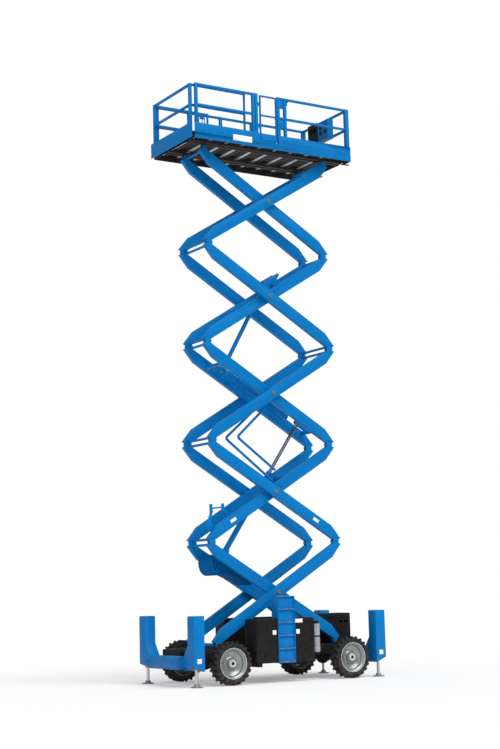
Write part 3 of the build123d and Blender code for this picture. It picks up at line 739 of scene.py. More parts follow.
    def fit(self, piece: Obj, body: str, finish: Finish, replaces: Sequence[str] = (),
            smooth: float = 40.0) -> Obj:
        """Paints a finished piece and mounts it on its body.

        Args:
            piece: The finished object.
            body: The body that it rides on.
            finish: Its finish.
            replaces: CAD nodes that it stands for.
            smooth: Faces that meet under this many degrees shade as one surface.

        Returns:
            The object.
        """
        self.settle(piece)
        bpy.ops.object.shade_smooth_by_angle(angle=math.radians(smooth))
        self.shop.paint(piece, finish)
        if replaces:
            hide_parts(*replaces)
        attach(piece, body)
        LOG.info("%s on %s", piece.name, body)
        return piece


# ------------------------------------------------------------------ stage: floor, light, camera
@dataclass
class Studio:
    """Pale floor, soft light and the camera."""

    floor_size: float = 400.0
    floor_drop: float = 0.0008
    floor_shade: float = 0.93
    floor_spread: float = 0.01
    melt: tuple[float, float, float] = (3.0, 11.0, 0.30)
    sky: float = 0.42
    key: Pair = (2.25, 50.0)
    key_turn: Point = (38.0, 0.0, 14.0)
    fill: Pair = (0.55, 70.0)
    fill_turn: Point = (58.0, 0.0, -48.0)
    camera_place: Point = (-16.244, -26.168, 1.814)
    camera_turn: Point = (-31.619, 8.364, -1.443)
    lens: float = 70.755
    sensor: float = 36.0
    clip: Pair = (0.5, 500.0)

    WHITE = (1.0, 1.0, 1.0, 1.0)

    def build(self) -> None:
        """Makes floor, lights and camera."""
        self._floor()
        self._sky()
        self._lamp("key_light", self.key, self.key_turn)
        self._lamp("fill_light", self.fill, self.fill_turn)
        self._camera()

    def _floor(self) -> None:
        """Wide pale floor whose far parts melt into the background."""
        Bench.clear()
        bpy.ops.mesh.primitive_plane_add(size=self.floor_size, location=(0, 0, -self.floor_drop))
        floor = bpy.context.active_object
        floor.name = "studio_floor"
        made = bpy.data.materials.new("studio_floor")
        made.use_nodes = True
        net, nodes = Net(made.node_tree), made.node_tree.nodes
        low, high = self.floor_shade - self.floor_spread, self.floor_shade + self.floor_spread
        net.feed(nodes["Principled BSDF"], {
            "Roughness": 0.9, "Specular IOR Level": 0.1,
            "Base Color": net.ranged(net.noise(0.4, 2.0), (0.0, 1.0), (low, high))})
        away, white, mix = (net.add(kind) for kind in (
            "ShaderNodeVectorMath", "ShaderNodeEmission", "ShaderNodeMixShader"))
        away.operation = "LENGTH"
        net.feed(away, {0: net.here()})
        near, far, least = self.melt
        melted = net.ranged(away.outputs["Value"], (near, far), (least, 1.0), "SMOOTHSTEP")
        net.feed(white, {"Color": self.WHITE})
        net.feed(mix, {"Fac": net.maths("MULTIPLY", melted, net.seen()),
                       1: nodes["Principled BSDF"].outputs["BSDF"], 2: white.outputs["Emission"]})
        net.feed(nodes["Material Output"], {"Surface": mix.outputs["Shader"]})
        floor.data.materials.append(made)

    def _sky(self) -> None:
        """White to the camera, an even soft grey to everything else."""
        world = bpy.data.worlds.new("studio")
        world.use_nodes = True
        net = Net(world.node_tree)
        net.feed(world.node_tree.nodes["Background"], {
            "Color": self.WHITE, "Strength": net.ranged(net.seen(), (0.0, 1.0), (self.sky, 1.0))})
        bpy.context.scene.world = world

    @staticmethod
    def _lamp(name: str, light: Pair, turn: Point) -> None:
        """Wide soft lamp.

        Args:
            name: The lamp's name.
            light: Its energy, and its width in degrees.
            turn: Its turn in degrees about X, Y and Z.
        """
        lamp = bpy.data.lights.new(name, "SUN")
        lamp.energy, lamp.angle = light[0], math.radians(light[1])
        holder = bpy.data.objects.new(name, lamp)
        holder.rotation_euler = [math.radians(v) for v in turn]
        bpy.context.scene.collection.objects.link(holder)

    def _camera(self) -> None:
        """Camera from its place, heading, pitch and roll."""
        yaw, pitch, roll = (math.radians(v) for v in self.camera_turn)
        ahead = Vector((-math.sin(yaw) * math.cos(pitch), math.cos(yaw) * math.cos(pitch), math.sin(pitch)))
        right = Vector((math.cos(yaw), math.sin(yaw), 0.0))
        up = right.cross(ahead)
        across = right * math.cos(roll) + up * math.sin(roll)
        above = up * math.cos(roll) - right * math.sin(roll)
        lens = bpy.data.cameras.new("camera")
        lens.lens, lens.sensor_fit = self.lens, "VERTICAL"
        lens.sensor_height = lens.sensor_width = self.sensor
        lens.clip_start, lens.clip_end = self.clip
        camera = bpy.data.objects.new("camera", lens)
        camera.matrix_world = Matrix.Translation(self.camera_place) @ Matrix(
            (across, above, -ahead)).transposed().to_4x4()
        bpy.context.scene.collection.objects.link(camera)
        bpy.context.scene.camera = camera


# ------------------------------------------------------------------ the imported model
class Packed:
    """Boxes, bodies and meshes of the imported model's nodes."""

    def __init__(self, frame: dict) -> None:
        """Keeps the node objects, each node's body and the joints."""
        self.nodes = frame["nodes"]
        bodies = frame["record"]["behaviour"]["bodies"]
        self.body = {node: body for body, group in bodies.items() for node in group}
        self.joints = {joint["name"]: joint for joint in frame["joints"]}

    def box(self, node: str) -> tuple[Vector, Vector]:
        """Lowest and highest corner of a node."""
        low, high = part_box(node)
        return Vector(low), Vector(high)

    def pin(self, joint: str) -> Vector:
        """Place of a joint's axis."""
        return Vector(self.joints[joint]["pos_m"])

    def copy(self, bench: Bench, node: str) -> Obj:
        """Merged copy of a node's mesh, with its flat faces made whole.

        Args:
            bench: The bench.
            node: The CAD node.

        Returns:
            The node's shell, riding on nothing yet.
        """
        piece = bpy.data.objects.new(f"{node}_shell", self.nodes[node].data.copy())
        bpy.context.collection.objects.link(piece)
        with bench.editing(piece):
            bpy.ops.mesh.remove_doubles(threshold=2e-5)
            bpy.ops.mesh.customdata_custom_splitnormals_clear()
            bpy.ops.mesh.mark_sharp(clear=True)
            bpy.ops.mesh.dissolve_limited(angle_limit=math.radians(1.0), delimit={"NORMAL"})
        return piece


@dataclass
class Assembly:
    """Sub-assembly that is made with the bench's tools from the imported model's boxes."""

    bench: Bench
    packed: Packed

    def fit(self, name: str, parts: Sequence[Obj], body: str, finish: Finish, smooth: float = 40.0) -> Obj:
        """Joins parts into one piece, which is then painted and mounted on its body."""
        return self.bench.fit(self.bench.joined(name, parts), body, finish, (), smooth)

    def shell(self, node: str, finish: Finish, edge: float = 0.0, smooth: float = 40.0,
              held: bool = False) -> Obj:
        """Replaces a node with a painted copy of itself.

        Args:
            node: The CAD node.
            finish: Its finish.
            edge: Width of the rounding of its edges, or 0 for none.
            smooth: Faces that meet under this many degrees shade as one surface.
            held: True where the rounded copy is held inside the node's box.

        Returns:
            The node's shell.
        """
        piece = self.packed.copy(self.bench, node)
        if edge:
            self.bench.soften(piece, edge, angle=40.0)
        if held:
            low, high = self.packed.box(node)
            for vertex in piece.data.vertices:
                vertex.co = [min(max(at, least), most) for at, least, most in zip(vertex.co, low, high)]
        return self.bench.fit(piece, self.packed.body[node], finish, (node,), smooth)


@dataclass
class Weldments(Assembly):
    """Rounded, painted copies of the blocky steel and moulded parts."""

    stages: int = 5
    arm_edge: float = 0.006
    pin_head: float = 0.06
    head_rise: float = 0.014

    SKINS = (
        ("chassis_frame", BLACK, 0.004), ("rear_outrigger_frame", BLUE, 0.004),
        ("front_outrigger_frame", BLUE, 0.004), ("rear_axle", BLACK, 0.003), ("front_axle", BLACK, 0.003),
        ("near_knuckle", DARK_STEEL, 0.003), ("far_knuckle", DARK_STEEL, 0.003),
        ("near_module", COVER, 0.006),
        ("engine_cover", COVER, 0.006), ("end_tank_box", COVER, 0.006), ("ladder", BLUE, 0.003),
        ("entry_gate", BLUE, 0.003), ("platform_rails", BLUE, 0.004), ("extension_deck", BLUE, 0.0015),
        ("engine", ENGINE, 0.012))

    def build(self) -> None:
        """Rounds and paints every weldment."""
        for node, finish, edge in self.SKINS:
            self.shell(node, finish, edge, held=True)
        for stage in range(1, self.stages + 1):
            self._pale_heads(self.shell(f"stage_{stage}_outer_arms", BLUE, self.arm_edge, held=True), stage)
            self.shell(f"stage_{stage}_inner_arms", BLUE, self.arm_edge, held=True)

    def _pale_heads(self, piece: Obj, stage: int) -> None:
        """Gives the centre pin's heads on a stage's outside arms a grey of their own."""
        pin = self.packed.pin(f"stage_{stage}_centre_pin")
        face = max(vertex.co.y for vertex in piece.data.vertices) - self.head_rise

        def head(part: bpy.types.MeshPolygon) -> bool:
            """Says whether a face is on one of the pin's heads."""
            at = part.center
            return abs(at.y) > face and math.hypot(at.x - pin.x, at.z - pin.z) < self.pin_head

        self.bench.shop.repaint(piece, PIN_GREY, head)


# ------------------------------------------------------------------ wheels
@dataclass
class Wheel(Assembly):
    """Lugged tyre on a dished rim with its bright lip, hub cap and valve."""

    end: str
    side: Side
    lug_rise: float = 0.026
    lugs: int = 22
    lug_width: float = 0.052
    nuts: int = 9
    nut_circle: float = 0.152
    nut_size: float = 0.013
    nut_seat: float = 0.0115
    cap_bolts: int = 6
    cap_circle: float = 0.060
    cap_bolt_size: float = 0.0045
    cap_face: float = 0.1030
    plug_radius: float = 0.034
    valve_foot: Point = (0.228, 0.042, 0.0)
    rim_wall: float = 0.004

    DISH = ((0.236, 0.046), (0.170, 0.014), (0.135, 0.008), (0.128, 0.014), (0.112, 0.020), (0.098, 0.080),
            (0.086, 0.092), (0.0, 0.092))
    CAP = ((0.0, 0.0925), (0.020, 0.0925), (0.024, 0.097), (0.048, 0.097), (0.056, 0.103), (0.066, 0.103),
           (0.070, 0.098), (0.070, 0.090), (0.0, 0.088))

    def build(self) -> None:
        """Makes the wheel's parts about the origin and mounts them on the wheel's body."""
        name = f"{self.end}_{self.side.name.lower()}"
        low, high = self.packed.box(f"{name}_tyre")
        centre = (low + high) / 2
        self.radius, self.half = (high.z - low.z) / 2, (high.y - low.y) / 2
        low, high = self.packed.box(f"{name}_rim")
        self.rim_radius = (high.z - low.z) / 2
        self.rim_in, self.rim_out = (at - abs(centre.y) for at in sorted((abs(low.y), abs(high.y))))
        place = Matrix.Translation(centre) @ facing(self.side)
        for make, label, finish, stands_for, smooth in (
                (self._tyre, "tyre_lugged", RUBBER, ("tyre",), 32.0),
                (self._rim, "rim_dished", RIM, ("rim",), 35.0),
                (self._flange, "rim_flange", RIM_FLANGE, (), 35.0),
                (self._hub_cap, "hub_cap", RIM_FLANGE, (), 35.0),
                (self._valve, "valve", HOSE, (), 40.0)):
            piece = self.bench.placed(make(), f"{name}_{label}", place)
            self.bench.fit(piece, f"{name}_wheel", finish, [f"{name}_{node}" for node in stands_for], smooth)

    def _tyre(self) -> Obj:
        """Carcass turned about Y, with two rows of lugs that wrap over the shoulders."""
        tread, half, rim = self.radius - self.lug_rise, self.half, self.rim_radius
        section = ((rim, 0.030), (rim + 0.012, 0.012), (rim + 0.035, 0.004), (rim + 0.060, 0.010),
                   (tread - 0.030, 0.014), (tread - 0.008, 0.034), (tread, 0.075))
        profile = [(at, inset - half) for at, inset in section]
        profile += [(at, half - inset) for at, inset in section[::-1]]
        parts = [self.bench.turned("carcass", profile + profile[:1], 72)]
        lug = self._lug()
        for i in range(self.lugs):
            for row, flip in enumerate((Matrix.Identity(4), Matrix.Scale(-1, 4, (0, 1, 0)))):
                turn = Matrix.Rotation((i + 0.5 * row) * 2 * math.pi / self.lugs, 4, "Y")
                parts.append(self.bench.copied(lug, "lug", turn @ flip))
        self.bench.scrap(lug)
        return self.bench.joined("tyre", parts)

    def _lug(self) -> Obj:
        """One lug at the top of the tyre's +Y half: a skewed bar that turns down over the shoulder."""
        top, half = self.radius, self.half
        lug = self.bench.cube("lug", (0, half / 2 - 0.012, top - 0.0225),
                              (self.lug_width, half - 0.036, 0.040))
        for beyond, move, taper in ((half - 0.031, (0, 0.016, -0.030), 0.9),
                                    (half - 0.015, (0, 0.0085, -0.046), 0.85)):
            with self.bench.picked(lug, lambda at: at.y > beyond):
                bpy.ops.mesh.extrude_region_move(TRANSFORM_OT_translate={"value": move})
                bpy.ops.transform.resize(value=(taper, 1.0, 1.0))
        for start, end, turn in ((-1.0, 0.02, 4.1), (0.02, half - 0.020, -2.7),
                                 (half - 0.020, half - 0.010, -3.6), (half - 0.010, 1.0, -4.1)):
            with self.bench.picked(lug, lambda at: start < at.y < end):
                bpy.ops.transform.rotate(value=math.radians(turn), orient_axis="Y", center_override=(0, 0, 0))
        return self.bench.soften(lug, 0.004, 1, 30.0)

    @staticmethod
    def _circle(count: int, radius: float, y: float) -> list[tuple[Point, Point]]:
        """Places on a circle about Y that look out along +Y."""
        turns = (2 * math.pi * i / count for i in range(count))
        return [((radius * math.cos(turn), y, radius * math.sin(turn)), (0, 1, 0)) for turn in turns]

    def _rim(self) -> Obj:
        """Rolled rim flange, deep closed dish, the drive hub and the wheel nuts."""
        lip, out, back = self.rim_radius, self.rim_out, self.rim_in
        profile = [(lip - 0.020, back), (lip - 0.002, back + 0.004), (lip - 0.002, out - 0.010),
                   (lip - 0.006, out), (lip - 0.014, out), (lip - 0.020, out - 0.006),
                   (lip - 0.024, out - 0.020), (lip - 0.044, out - 0.034),
                   (lip - 0.052, out - 0.040), *self.DISH]
        shell = self.bench.modified(self.bench.turned("rim", profile, 96), "SOLIDIFY",
                                    thickness=self.rim_wall, offset=-1.0)
        nuts = self.bench.bolts("wheel_nuts", self._circle(self.nuts, self.nut_circle, self.nut_seat),
                                self.nut_size)
        return self.bench.joined("rim_parts", [shell, nuts])

    def _flange(self) -> Obj:
        """Bright rolled lip round the rim's outside edge."""
        lip, out = self.rim_radius, self.rim_out
        return self.bench.turned("flange", [
            (lip - 0.003, out - 0.009), (lip - 0.004, out + 0.0012), (lip - 0.009, out + 0.0025),
            (lip - 0.014, out + 0.0012), (lip - 0.019, out - 0.006), (lip - 0.018, out - 0.012),
            (lip - 0.003, out - 0.009)], 96)

    def _hub_cap(self) -> Obj:
        """Pale ring and plug in the middle of the hub, with small bolts round it."""
        ring = self.bench.turned("ring", self.CAP, 48)
        bolts = self.bench.bolts("cap_bolts", self._circle(self.cap_bolts, self.cap_circle, self.cap_face),
                                 self.cap_bolt_size)
        return self.bench.joined("cap", [ring, bolts])

    def _valve(self) -> Obj:
        """Dark plug in the middle of the hub cap, and the valve stem by the rim's flange."""
        foot = Vector(self.valve_foot)
        tip = foot + Vector((-0.006, 0.030, 0))
        return self.bench.joined("valve", [
            self.bench.rod("plug", (0, 0.092, 0), (0, 0.1012, 0), self.plug_radius, 40),
            self.bench.rod("stem", foot, tip, 0.005, 16),
            self.bench.rod("cap", foot + Vector((-0.006, 0.028, 0)), foot + Vector((-0.008, 0.040, 0)),
                           0.0065, 16)])


# ------------------------------------------------------------------ scissor stack dressing
@dataclass
class Stack(Assembly):
    """Pins, keepers, brackets, hose runs and blank labels on the crossed arms.

    Outlines in the arms' own measures give the distance from the stage's centre pin
    towards +X and the distance square to the arm, upwards.
    """

    stages: int = 5
    head_rise: float = 0.016
    eye_offset: float = 0.232
    nipple_radius: float = 0.006
    pin_radius: float = 0.024
    keeper_rise: float = 0.006
    keeper_bolt: float = 0.0075
    label: Pair = (0.074, 0.032)
    label_place: float = 1.13
    bracket_half: float = 0.290
    bracket_web: float = 0.236
    bracket_wall: float = 0.012
    boss_place: Pair = (-1.25, -0.09)
    boss_radius: float = 0.042
    boss_pin_radius: float = 0.022
    arm_width: float = 0.110
    web_planes: Pair = (0.094, 0.106)
    stay_plane: float = 0.100
    stay_width: float = 0.05
    cheek_planes: Pair = (0.100, 0.114)
    cheek_stay_planes: Pair = (0.112, 0.190)
    hose_plane: float = -0.262
    hose_radius: float = 0.027
    hose_bend: float = 0.07
    hose_reach: float = 0.15
    post_plane: float = -0.313
    root_radius: float = 0.020
    bar_radius: float = 0.016

    RING = ((0.022, -0.004), (0.023, 0.001), (0.026, 0.003), (0.038, 0.003), (0.041, 0.001), (0.042, -0.004),
            (0.022, -0.004))
    SKIRT = ((-0.48, -0.104), (-1.140, -0.196), (-1.185, -0.216), (-1.207, -0.300), (-1.240, -0.328),
             (-1.310, -0.335), (-1.385, -0.312), (-1.460, -0.255), (-1.515, -0.178), (-1.535, -0.090),
             (-1.525, -0.020))
    SKIRT_TOP = ((-1.500, 0.040), (-0.52, 0.040))
    SKIRT_RIB = ((-1.33, -0.325), (-1.36, -0.318), (-1.36, 0.02), (-1.33, 0.02))
    WEBS = ((-0.95, -0.075, (-0.70, -0.195)), (0.075, 0.78, (0.175, 0.58)))
    CHEEK = ((0.20, 0.09), (0.50, 0.09), (0.77, 0.255), (0.73, 0.292), (0.36, 0.300), (0.26, 0.240))
    CHEEK_STAY = ((0.44, 0.09), (0.46, 0.09), (0.46, 0.15), (0.44, 0.15))
    HOSES = {"outer": ((-0.10, 5.64), (-0.927, 4.93), (0.184, 4.075)),
             "inner": ((-0.02, 5.535), (-0.642, 4.966), (0.26, 4.30))}
    GUSSET = ((-1.470, 3.130), (-1.420, 3.235), (-1.362, 3.400), (-1.345, 3.440), (-1.280, 3.440),
              (-1.330, 3.310), (-1.345, 3.200), (-1.250, 3.130), (-1.200, 3.030), (-1.320, 2.980))

    def build(self) -> None:
        """Dresses every stage."""
        self.arm_face = self.packed.box("stage_1_outer_arms")[1].y - self.head_rise
        low, high = self.packed.pin("lift"), self.packed.pin("stage_1_centre_pin")
        slope = math.atan2(high.z - low.z, high.x - low.x)
        self.tilt = slope - math.asin(self.eye_offset / (2 * (high - low).length))
        for stage in range(1, self.stages + 1):
            self._centre_pins(stage)
            self._side_pins(stage)
        self._blank_labels()
        self._foot_bracket()
        self._cross_box()
        self._rod_cheeks()
        self._hose_runs()
        self._post_bracket()

    def _centre_pins(self, stage: int) -> None:
        """Raised ring and grease nipple on each head of a centre pin.

        Args:
            stage: The pin's stage.
        """
        body, bench = f"stage_{stage}_outer", self.bench
        face = self.packed.box(f"{body}_arms")[1].y
        at = self.packed.pin(f"stage_{stage}_centre_pin")
        ring = bench.turned("ring", self.RING, 40)
        parts = []
        for side in Side:
            sign = side.value
            place = Matrix.Translation((at.x, sign * face, at.z)) @ facing(side)
            parts += [bench.copied(ring, "ring", place),
                      bench.rod("nipple", (at.x, sign * (face - 0.004), at.z),
                                (at.x, sign * (face + 0.007), at.z), self.nipple_radius, 12)]
        bench.scrap(ring)
        self.fit(f"{body}_pin_rings", parts, body, PIN_GREY, 35.0)

    def _side_pins(self, stage: int) -> None:
        """Painted pin ends with their keepers on the outside of the forks.

        Args:
            stage: The stage whose upper pins they are; the first has its lower pins too.
        """
        hinge = self.packed.pin("lift" if stage == 1 else f"stage_{stage}_side_pin")
        middle, bench, face = self.packed.pin(f"stage_{stage}_centre_pin"), self.bench, self.arm_face
        ends = [2 * middle.x - hinge.x, hinge.x] if stage % 2 == 0 else [hinge.x, 2 * middle.x - hinge.x]
        places = list(zip(ends, (hinge.z, hinge.z + 2 * (middle.z - hinge.z))))
        parts = []
        for x, z in places if stage == 1 else places[1:]:
            for side in Side:
                sign, top = side.value, side.value * (face + self.keeper_rise)
                parts += [bench.rod("pin_end", (x, sign * (face - 0.004), z),
                                    (x, sign * (face + 0.004), z), self.pin_radius),
                          bench.block("keeper", (x - 0.050, sign * (face - 0.001), z - 0.012),
                                      (x - 0.004, top, z + 0.012), 0.002),
                          bench.bolts("keeper_bolt", [((x - 0.038, top, z), (0, sign, 0))], self.keeper_bolt)]
        self.fit(f"stage_{stage}_outer_pin_ends", parts, f"stage_{stage}_outer", BLUE)

    def _on_arm(self, stage: int, outline: Outline, falls: bool) -> list[Pair]:
        """Turns an outline in an arm's own measures into X and Z.

        Args:
            stage: The arm's stage.
            outline: Distances along and square to the arm.
            falls: True for the arm that falls towards +X.

        Returns:
            The outline's corners in X and Z.
        """
        centre, sign = self.packed.pin(f"stage_{stage}_centre_pin"), -1 if falls else 1
        across, up = math.cos(self.tilt), math.sin(self.tilt)
        return [(centre.x + along * across - sign * over * up, centre.z + sign * along * up + over * across)
                for along, over in outline]

    def _wall(self, name: str, outline: Outline, side: Side, reach: Pair, edge: float = 0.002) -> Obj:
        """Plate on one side of the middle plane, between two distances from it."""
        near, far = sorted(side.value * at for at in reach)
        return self.bench.plate(name, outline, near, far, edge)

    def _blank_labels(self) -> None:
        """Small blank white labels on the second stage's near arms."""
        half, rise = self.label
        inner = self.packed.box("stage_2_inner_arms")[1].y
        for name, along, face, falls in (("inner", -self.label_place, inner, False),
                                         ("outer", self.label_place, self.arm_face, True)):
            corners = self._on_arm(2, [(along + a * half, 0.004 + v * rise)
                                       for a, v in ((-1, -1), (1, -1), (1, 1), (-1, 1))], falls)
            label = self.bench.plate(f"stage_2_{name}_blank_label", corners, -face - 0.0016, -face + 0.001,
                                     0.0006)
            self.bench.fit(label, f"stage_2_{name}", BLANK)

    def _foot_bracket(self) -> None:
        """Tapered bracket below the upper left of the first stage's inner arms, with its pin boss."""
        bench, web = self.bench, self.bracket_web
        lines = (self.SKIRT, self.SKIRT_TOP, self.SKIRT_RIB)
        skirt, top, rib = (self._on_arm(1, line, True) for line in lines)
        (x, z), = self._on_arm(1, (self.boss_place,), True)
        half_wall = self.bracket_wall / 2
        parts = [bench.folded("skirt", skirt, self.bracket_half, self.bracket_wall)]
        for side in Side:
            y = side.value * web
            parts += [self._wall("web", skirt + top, side, (web - half_wall, web + half_wall)),
                      bench.rod("boss", (x, y, z), (x, y + side.value * 0.030, z),
                                self.boss_radius, 40, 0.003),
                      bench.rod("pin", (x, y, z), (x, y + side.value * 0.040, z),
                                self.boss_pin_radius, 32, 0.003),
                      self._wall("rib", rib, side, (web, self.bracket_half - 0.004))]
        # The whole bracket takes the darker blue as painted shade.
        self.fit("first_stage_foot_bracket", parts, "stage_1_inner", SHADED_BLUE)

    def _cross_box(self) -> None:
        """Webs along the third stage's inner arms, either side of the cylinders, tied to the arms on top."""
        parts = []
        inner = self.packed.box("stage_3_inner_arms")[1].y - self.arm_width
        for side in Side:
            for start, stop, stays in self.WEBS:
                web = ((start, -0.100), (start + 0.04, -0.112), (stop - 0.06, -0.112), (stop, -0.080),
                       (stop - 0.02, 0.085), (start + 0.06, 0.085))
                parts.append(self._wall("web", self._on_arm(3, web, True), side, self.web_planes))
                for along in stays:
                    end = along + self.stay_width
                    stay = self._on_arm(3, ((along, 0.068), (end, 0.068), (end, 0.080), (along, 0.080)), True)
                    parts.append(self._wall("stay", stay, side, (self.stay_plane, inner)))
        self.fit("third_stage_cross_box", parts, "stage_3_inner", BLUE)

    def _rod_cheeks(self) -> None:
        """Tall cheeks over the fourth stage's crossing that hold the upper cylinder's rod."""
        parts = []
        for side in Side:
            parts += [self._wall("cheek", self._on_arm(4, self.CHEEK, False), side, self.cheek_planes, 0.003),
                      self._wall("stay", self._on_arm(4, self.CHEEK_STAY, False), side,
                                 self.cheek_stay_planes, 0.003)]
        self.fit("fourth_stage_rod_cheeks", parts, "stage_4_inner", BLUE)

    def _hose_runs(self) -> None:
        """Two nested hose runs that turn round the left pin between the second and third stages."""
        turn, reach = self.packed.pin("stage_3_side_pin"), self.hose_reach
        for name, corners in self.HOSES.items():
            run = self.bench.pipe(f"hose_guide_{name}", [(x, self.hose_plane, z) for x, z in corners],
                                  self.hose_radius, self.hose_bend)
            self.bench.fit(run, "stage_2_outer", BLUE)
            run.parent = None
            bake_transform(run)

    def _post_bracket(self) -> None:
        """Bracket with two posts on the left of the second stage's rising arms."""
        bench, y = self.bench, self.post_plane
        foot, root = self._on_arm(2, ((-1.04, 0.06), (-1.56, 0.05)), False)
        parts = [bench.plate("gusset", self.GUSSET, y - 0.006, y + 0.006, 0.002),
                 bench.rod("root", (root[0], y + 0.006, root[1]), (root[0], y - 0.032, root[1]),
                           self.root_radius, 24),
                 bench.rod("root", (foot[0], y + 0.016, foot[1]), (foot[0], y - 0.032, foot[1]),
                           self.root_radius, 24),
                 bench.block("post", (-1.360, y - 0.020, 3.400), (-1.305, y + 0.020, 3.575), 0.004),
                 bench.block("post", (-1.085, y - 0.020, 3.435), (-1.030, y + 0.020, 3.590), 0.004),
                 bench.rod("leg", (foot[0], y, foot[1]), (-1.055, y, 3.460), self.bar_radius, 20),
                 bench.rod("bar", (-1.330, y, 3.485), (-1.060, y, 3.515), self.bar_radius, 20)]
        self.fit("second_stage_post_bracket", parts, "stage_2_inner", BLUE)


# ------------------------------------------------------------------ outriggers
@dataclass
class Outriggers(Assembly):
    """Collars, chrome legs, round pads, blank plates, tower lids and the hydraulic drum's bands."""

    collar_rise: float = 0.024
    plate_half: float = 0.048
    plate_heights: Pair = (0.455, 0.545)
    lid_half: Pair = (0.106, 0.113)
    lid_bolts: Pair = (0.085, 0.092)
    lid_rise: float = 0.004
    drum_inset: float = 0.130
    drum_height: float = 0.456
    drum_radius: float = 0.1299
    drum_bands: Sequence[float] = (-0.66, -0.52, -0.22, -0.08)

    PAD = ((0.0, 0.0), (0.118, 0.0), (0.1245, 0.004), (0.1245, 0.012), (0.118, 0.017), (0.085, 0.022),
           (0.060, 0.033), (0.052, 0.045), (0.050, 0.062), (0.040, 0.068), (0.034, 0.068), (0.034, 0.055),
           (0.0, 0.055))
    COLLAR = ((0.0330, 0.0), (0.050, 0.0), (0.056, 0.006), (0.056, 0.030), (0.0330, 0.030), (0.0330, 0.0))

    def build(self) -> None:
        """Dresses both outrigger frames and the four legs."""
        for end in ENDS:
            for side in Side:
                self._leg(end, side)
            self._tower_fittings(end)
        self._drum()

    def _leg(self, end: str, side: Side) -> None:
        """Chrome rod and swivelling round pad.

        Args:
            end: The frame's end of the machine.
            side: The leg's side.
        """
        node = f"{end}_{side.name.lower()}_outrigger_leg"
        low, high = self.packed.box(node)
        place, body = upright((low.x + high.x) / 2, (low.y + high.y) / 2), self.packed.body[node]
        rod = self.bench.turned("rod", [(0.0, 0.055), (0.0318, 0.055), (0.0318, high.z - 0.004),
                                        (0.028, high.z), (0.0, high.z)], 48)
        self.bench.fit(self.bench.placed(rod, f"{node}_rod", place), body, CHROME, (node,), 30.0)
        pad = self.bench.turned("pad", self.PAD, 56)
        self.bench.fit(self.bench.placed(pad, f"{node}_pad", place), body, ZINC, (), 30.0)

    def _tower_fittings(self, end: str) -> None:
        """Rod collars, blank squares and bolted top lids of one frame.

        Args:
            end: The frame's end of the machine.
        """
        low, high = self.packed.box(f"{end}_outrigger_frame")
        bench, lid, top = self.bench, self.lid_half, high.z + self.lid_rise
        collars, plates, lids = [], [], []
        for side in Side:
            leg_low, leg_high = self.packed.box(f"{end}_{side.name.lower()}_outrigger_leg")
            x, y, sign = (leg_low.x + leg_high.x) / 2, (leg_low.y + leg_high.y) / 2, side.value
            collar = bench.turned("collar", self.COLLAR, 40)
            collars.append(bench.placed(collar, "collar", upright(x, y, low.z + self.collar_rise)))
            face, half, (foot, head) = sign * high.y, self.plate_half, self.plate_heights
            plates.append(bench.block("plate", (x - half, face - sign * 0.001, foot),
                                      (x + half, face + sign * 0.0017, head), 0.0006))
            lids.append(bench.block("lid", (x - lid[0], y - lid[1], high.z - 0.001),
                                    (x + lid[0], y + lid[1], top), 0.001))
            dx, dy = self.lid_bolts
            corners = [(x + across, y + along, top) for across in (-dx, dx) for along in (-dy, dy)]
            lids.append(bench.bolts("lid_bolts", [(corner, (0, 0, 1)) for corner in corners], 0.0042))
        self.fit(f"{end}_leg_collars", collars, "chassis", ZINC)
        self.fit(f"{end}_tower_blank_plates", plates, "chassis", BLANK)
        self.fit(f"{end}_tower_lids", lids, "chassis", BLUE)

    def _drum(self) -> None:
        """Bands round the reservoir drum."""
        low, outer = self.packed.box("rear_outrigger_frame")[0], self.drum_radius
        inner = outer - 0.004
        band = self.bench.turned("band", [(inner, -0.014), (outer, -0.012), (outer, 0.012), (inner, 0.014),
                                          (inner, -0.014)], 64)
        places = [Matrix.Translation((low.x + self.drum_inset, y, self.drum_height)) for y in self.drum_bands]
        bands = [self.bench.copied(band, "band", place) for place in places]
        self.bench.scrap(band)
        self.fit("drum_bands", bands, "chassis", DARK_STEEL)


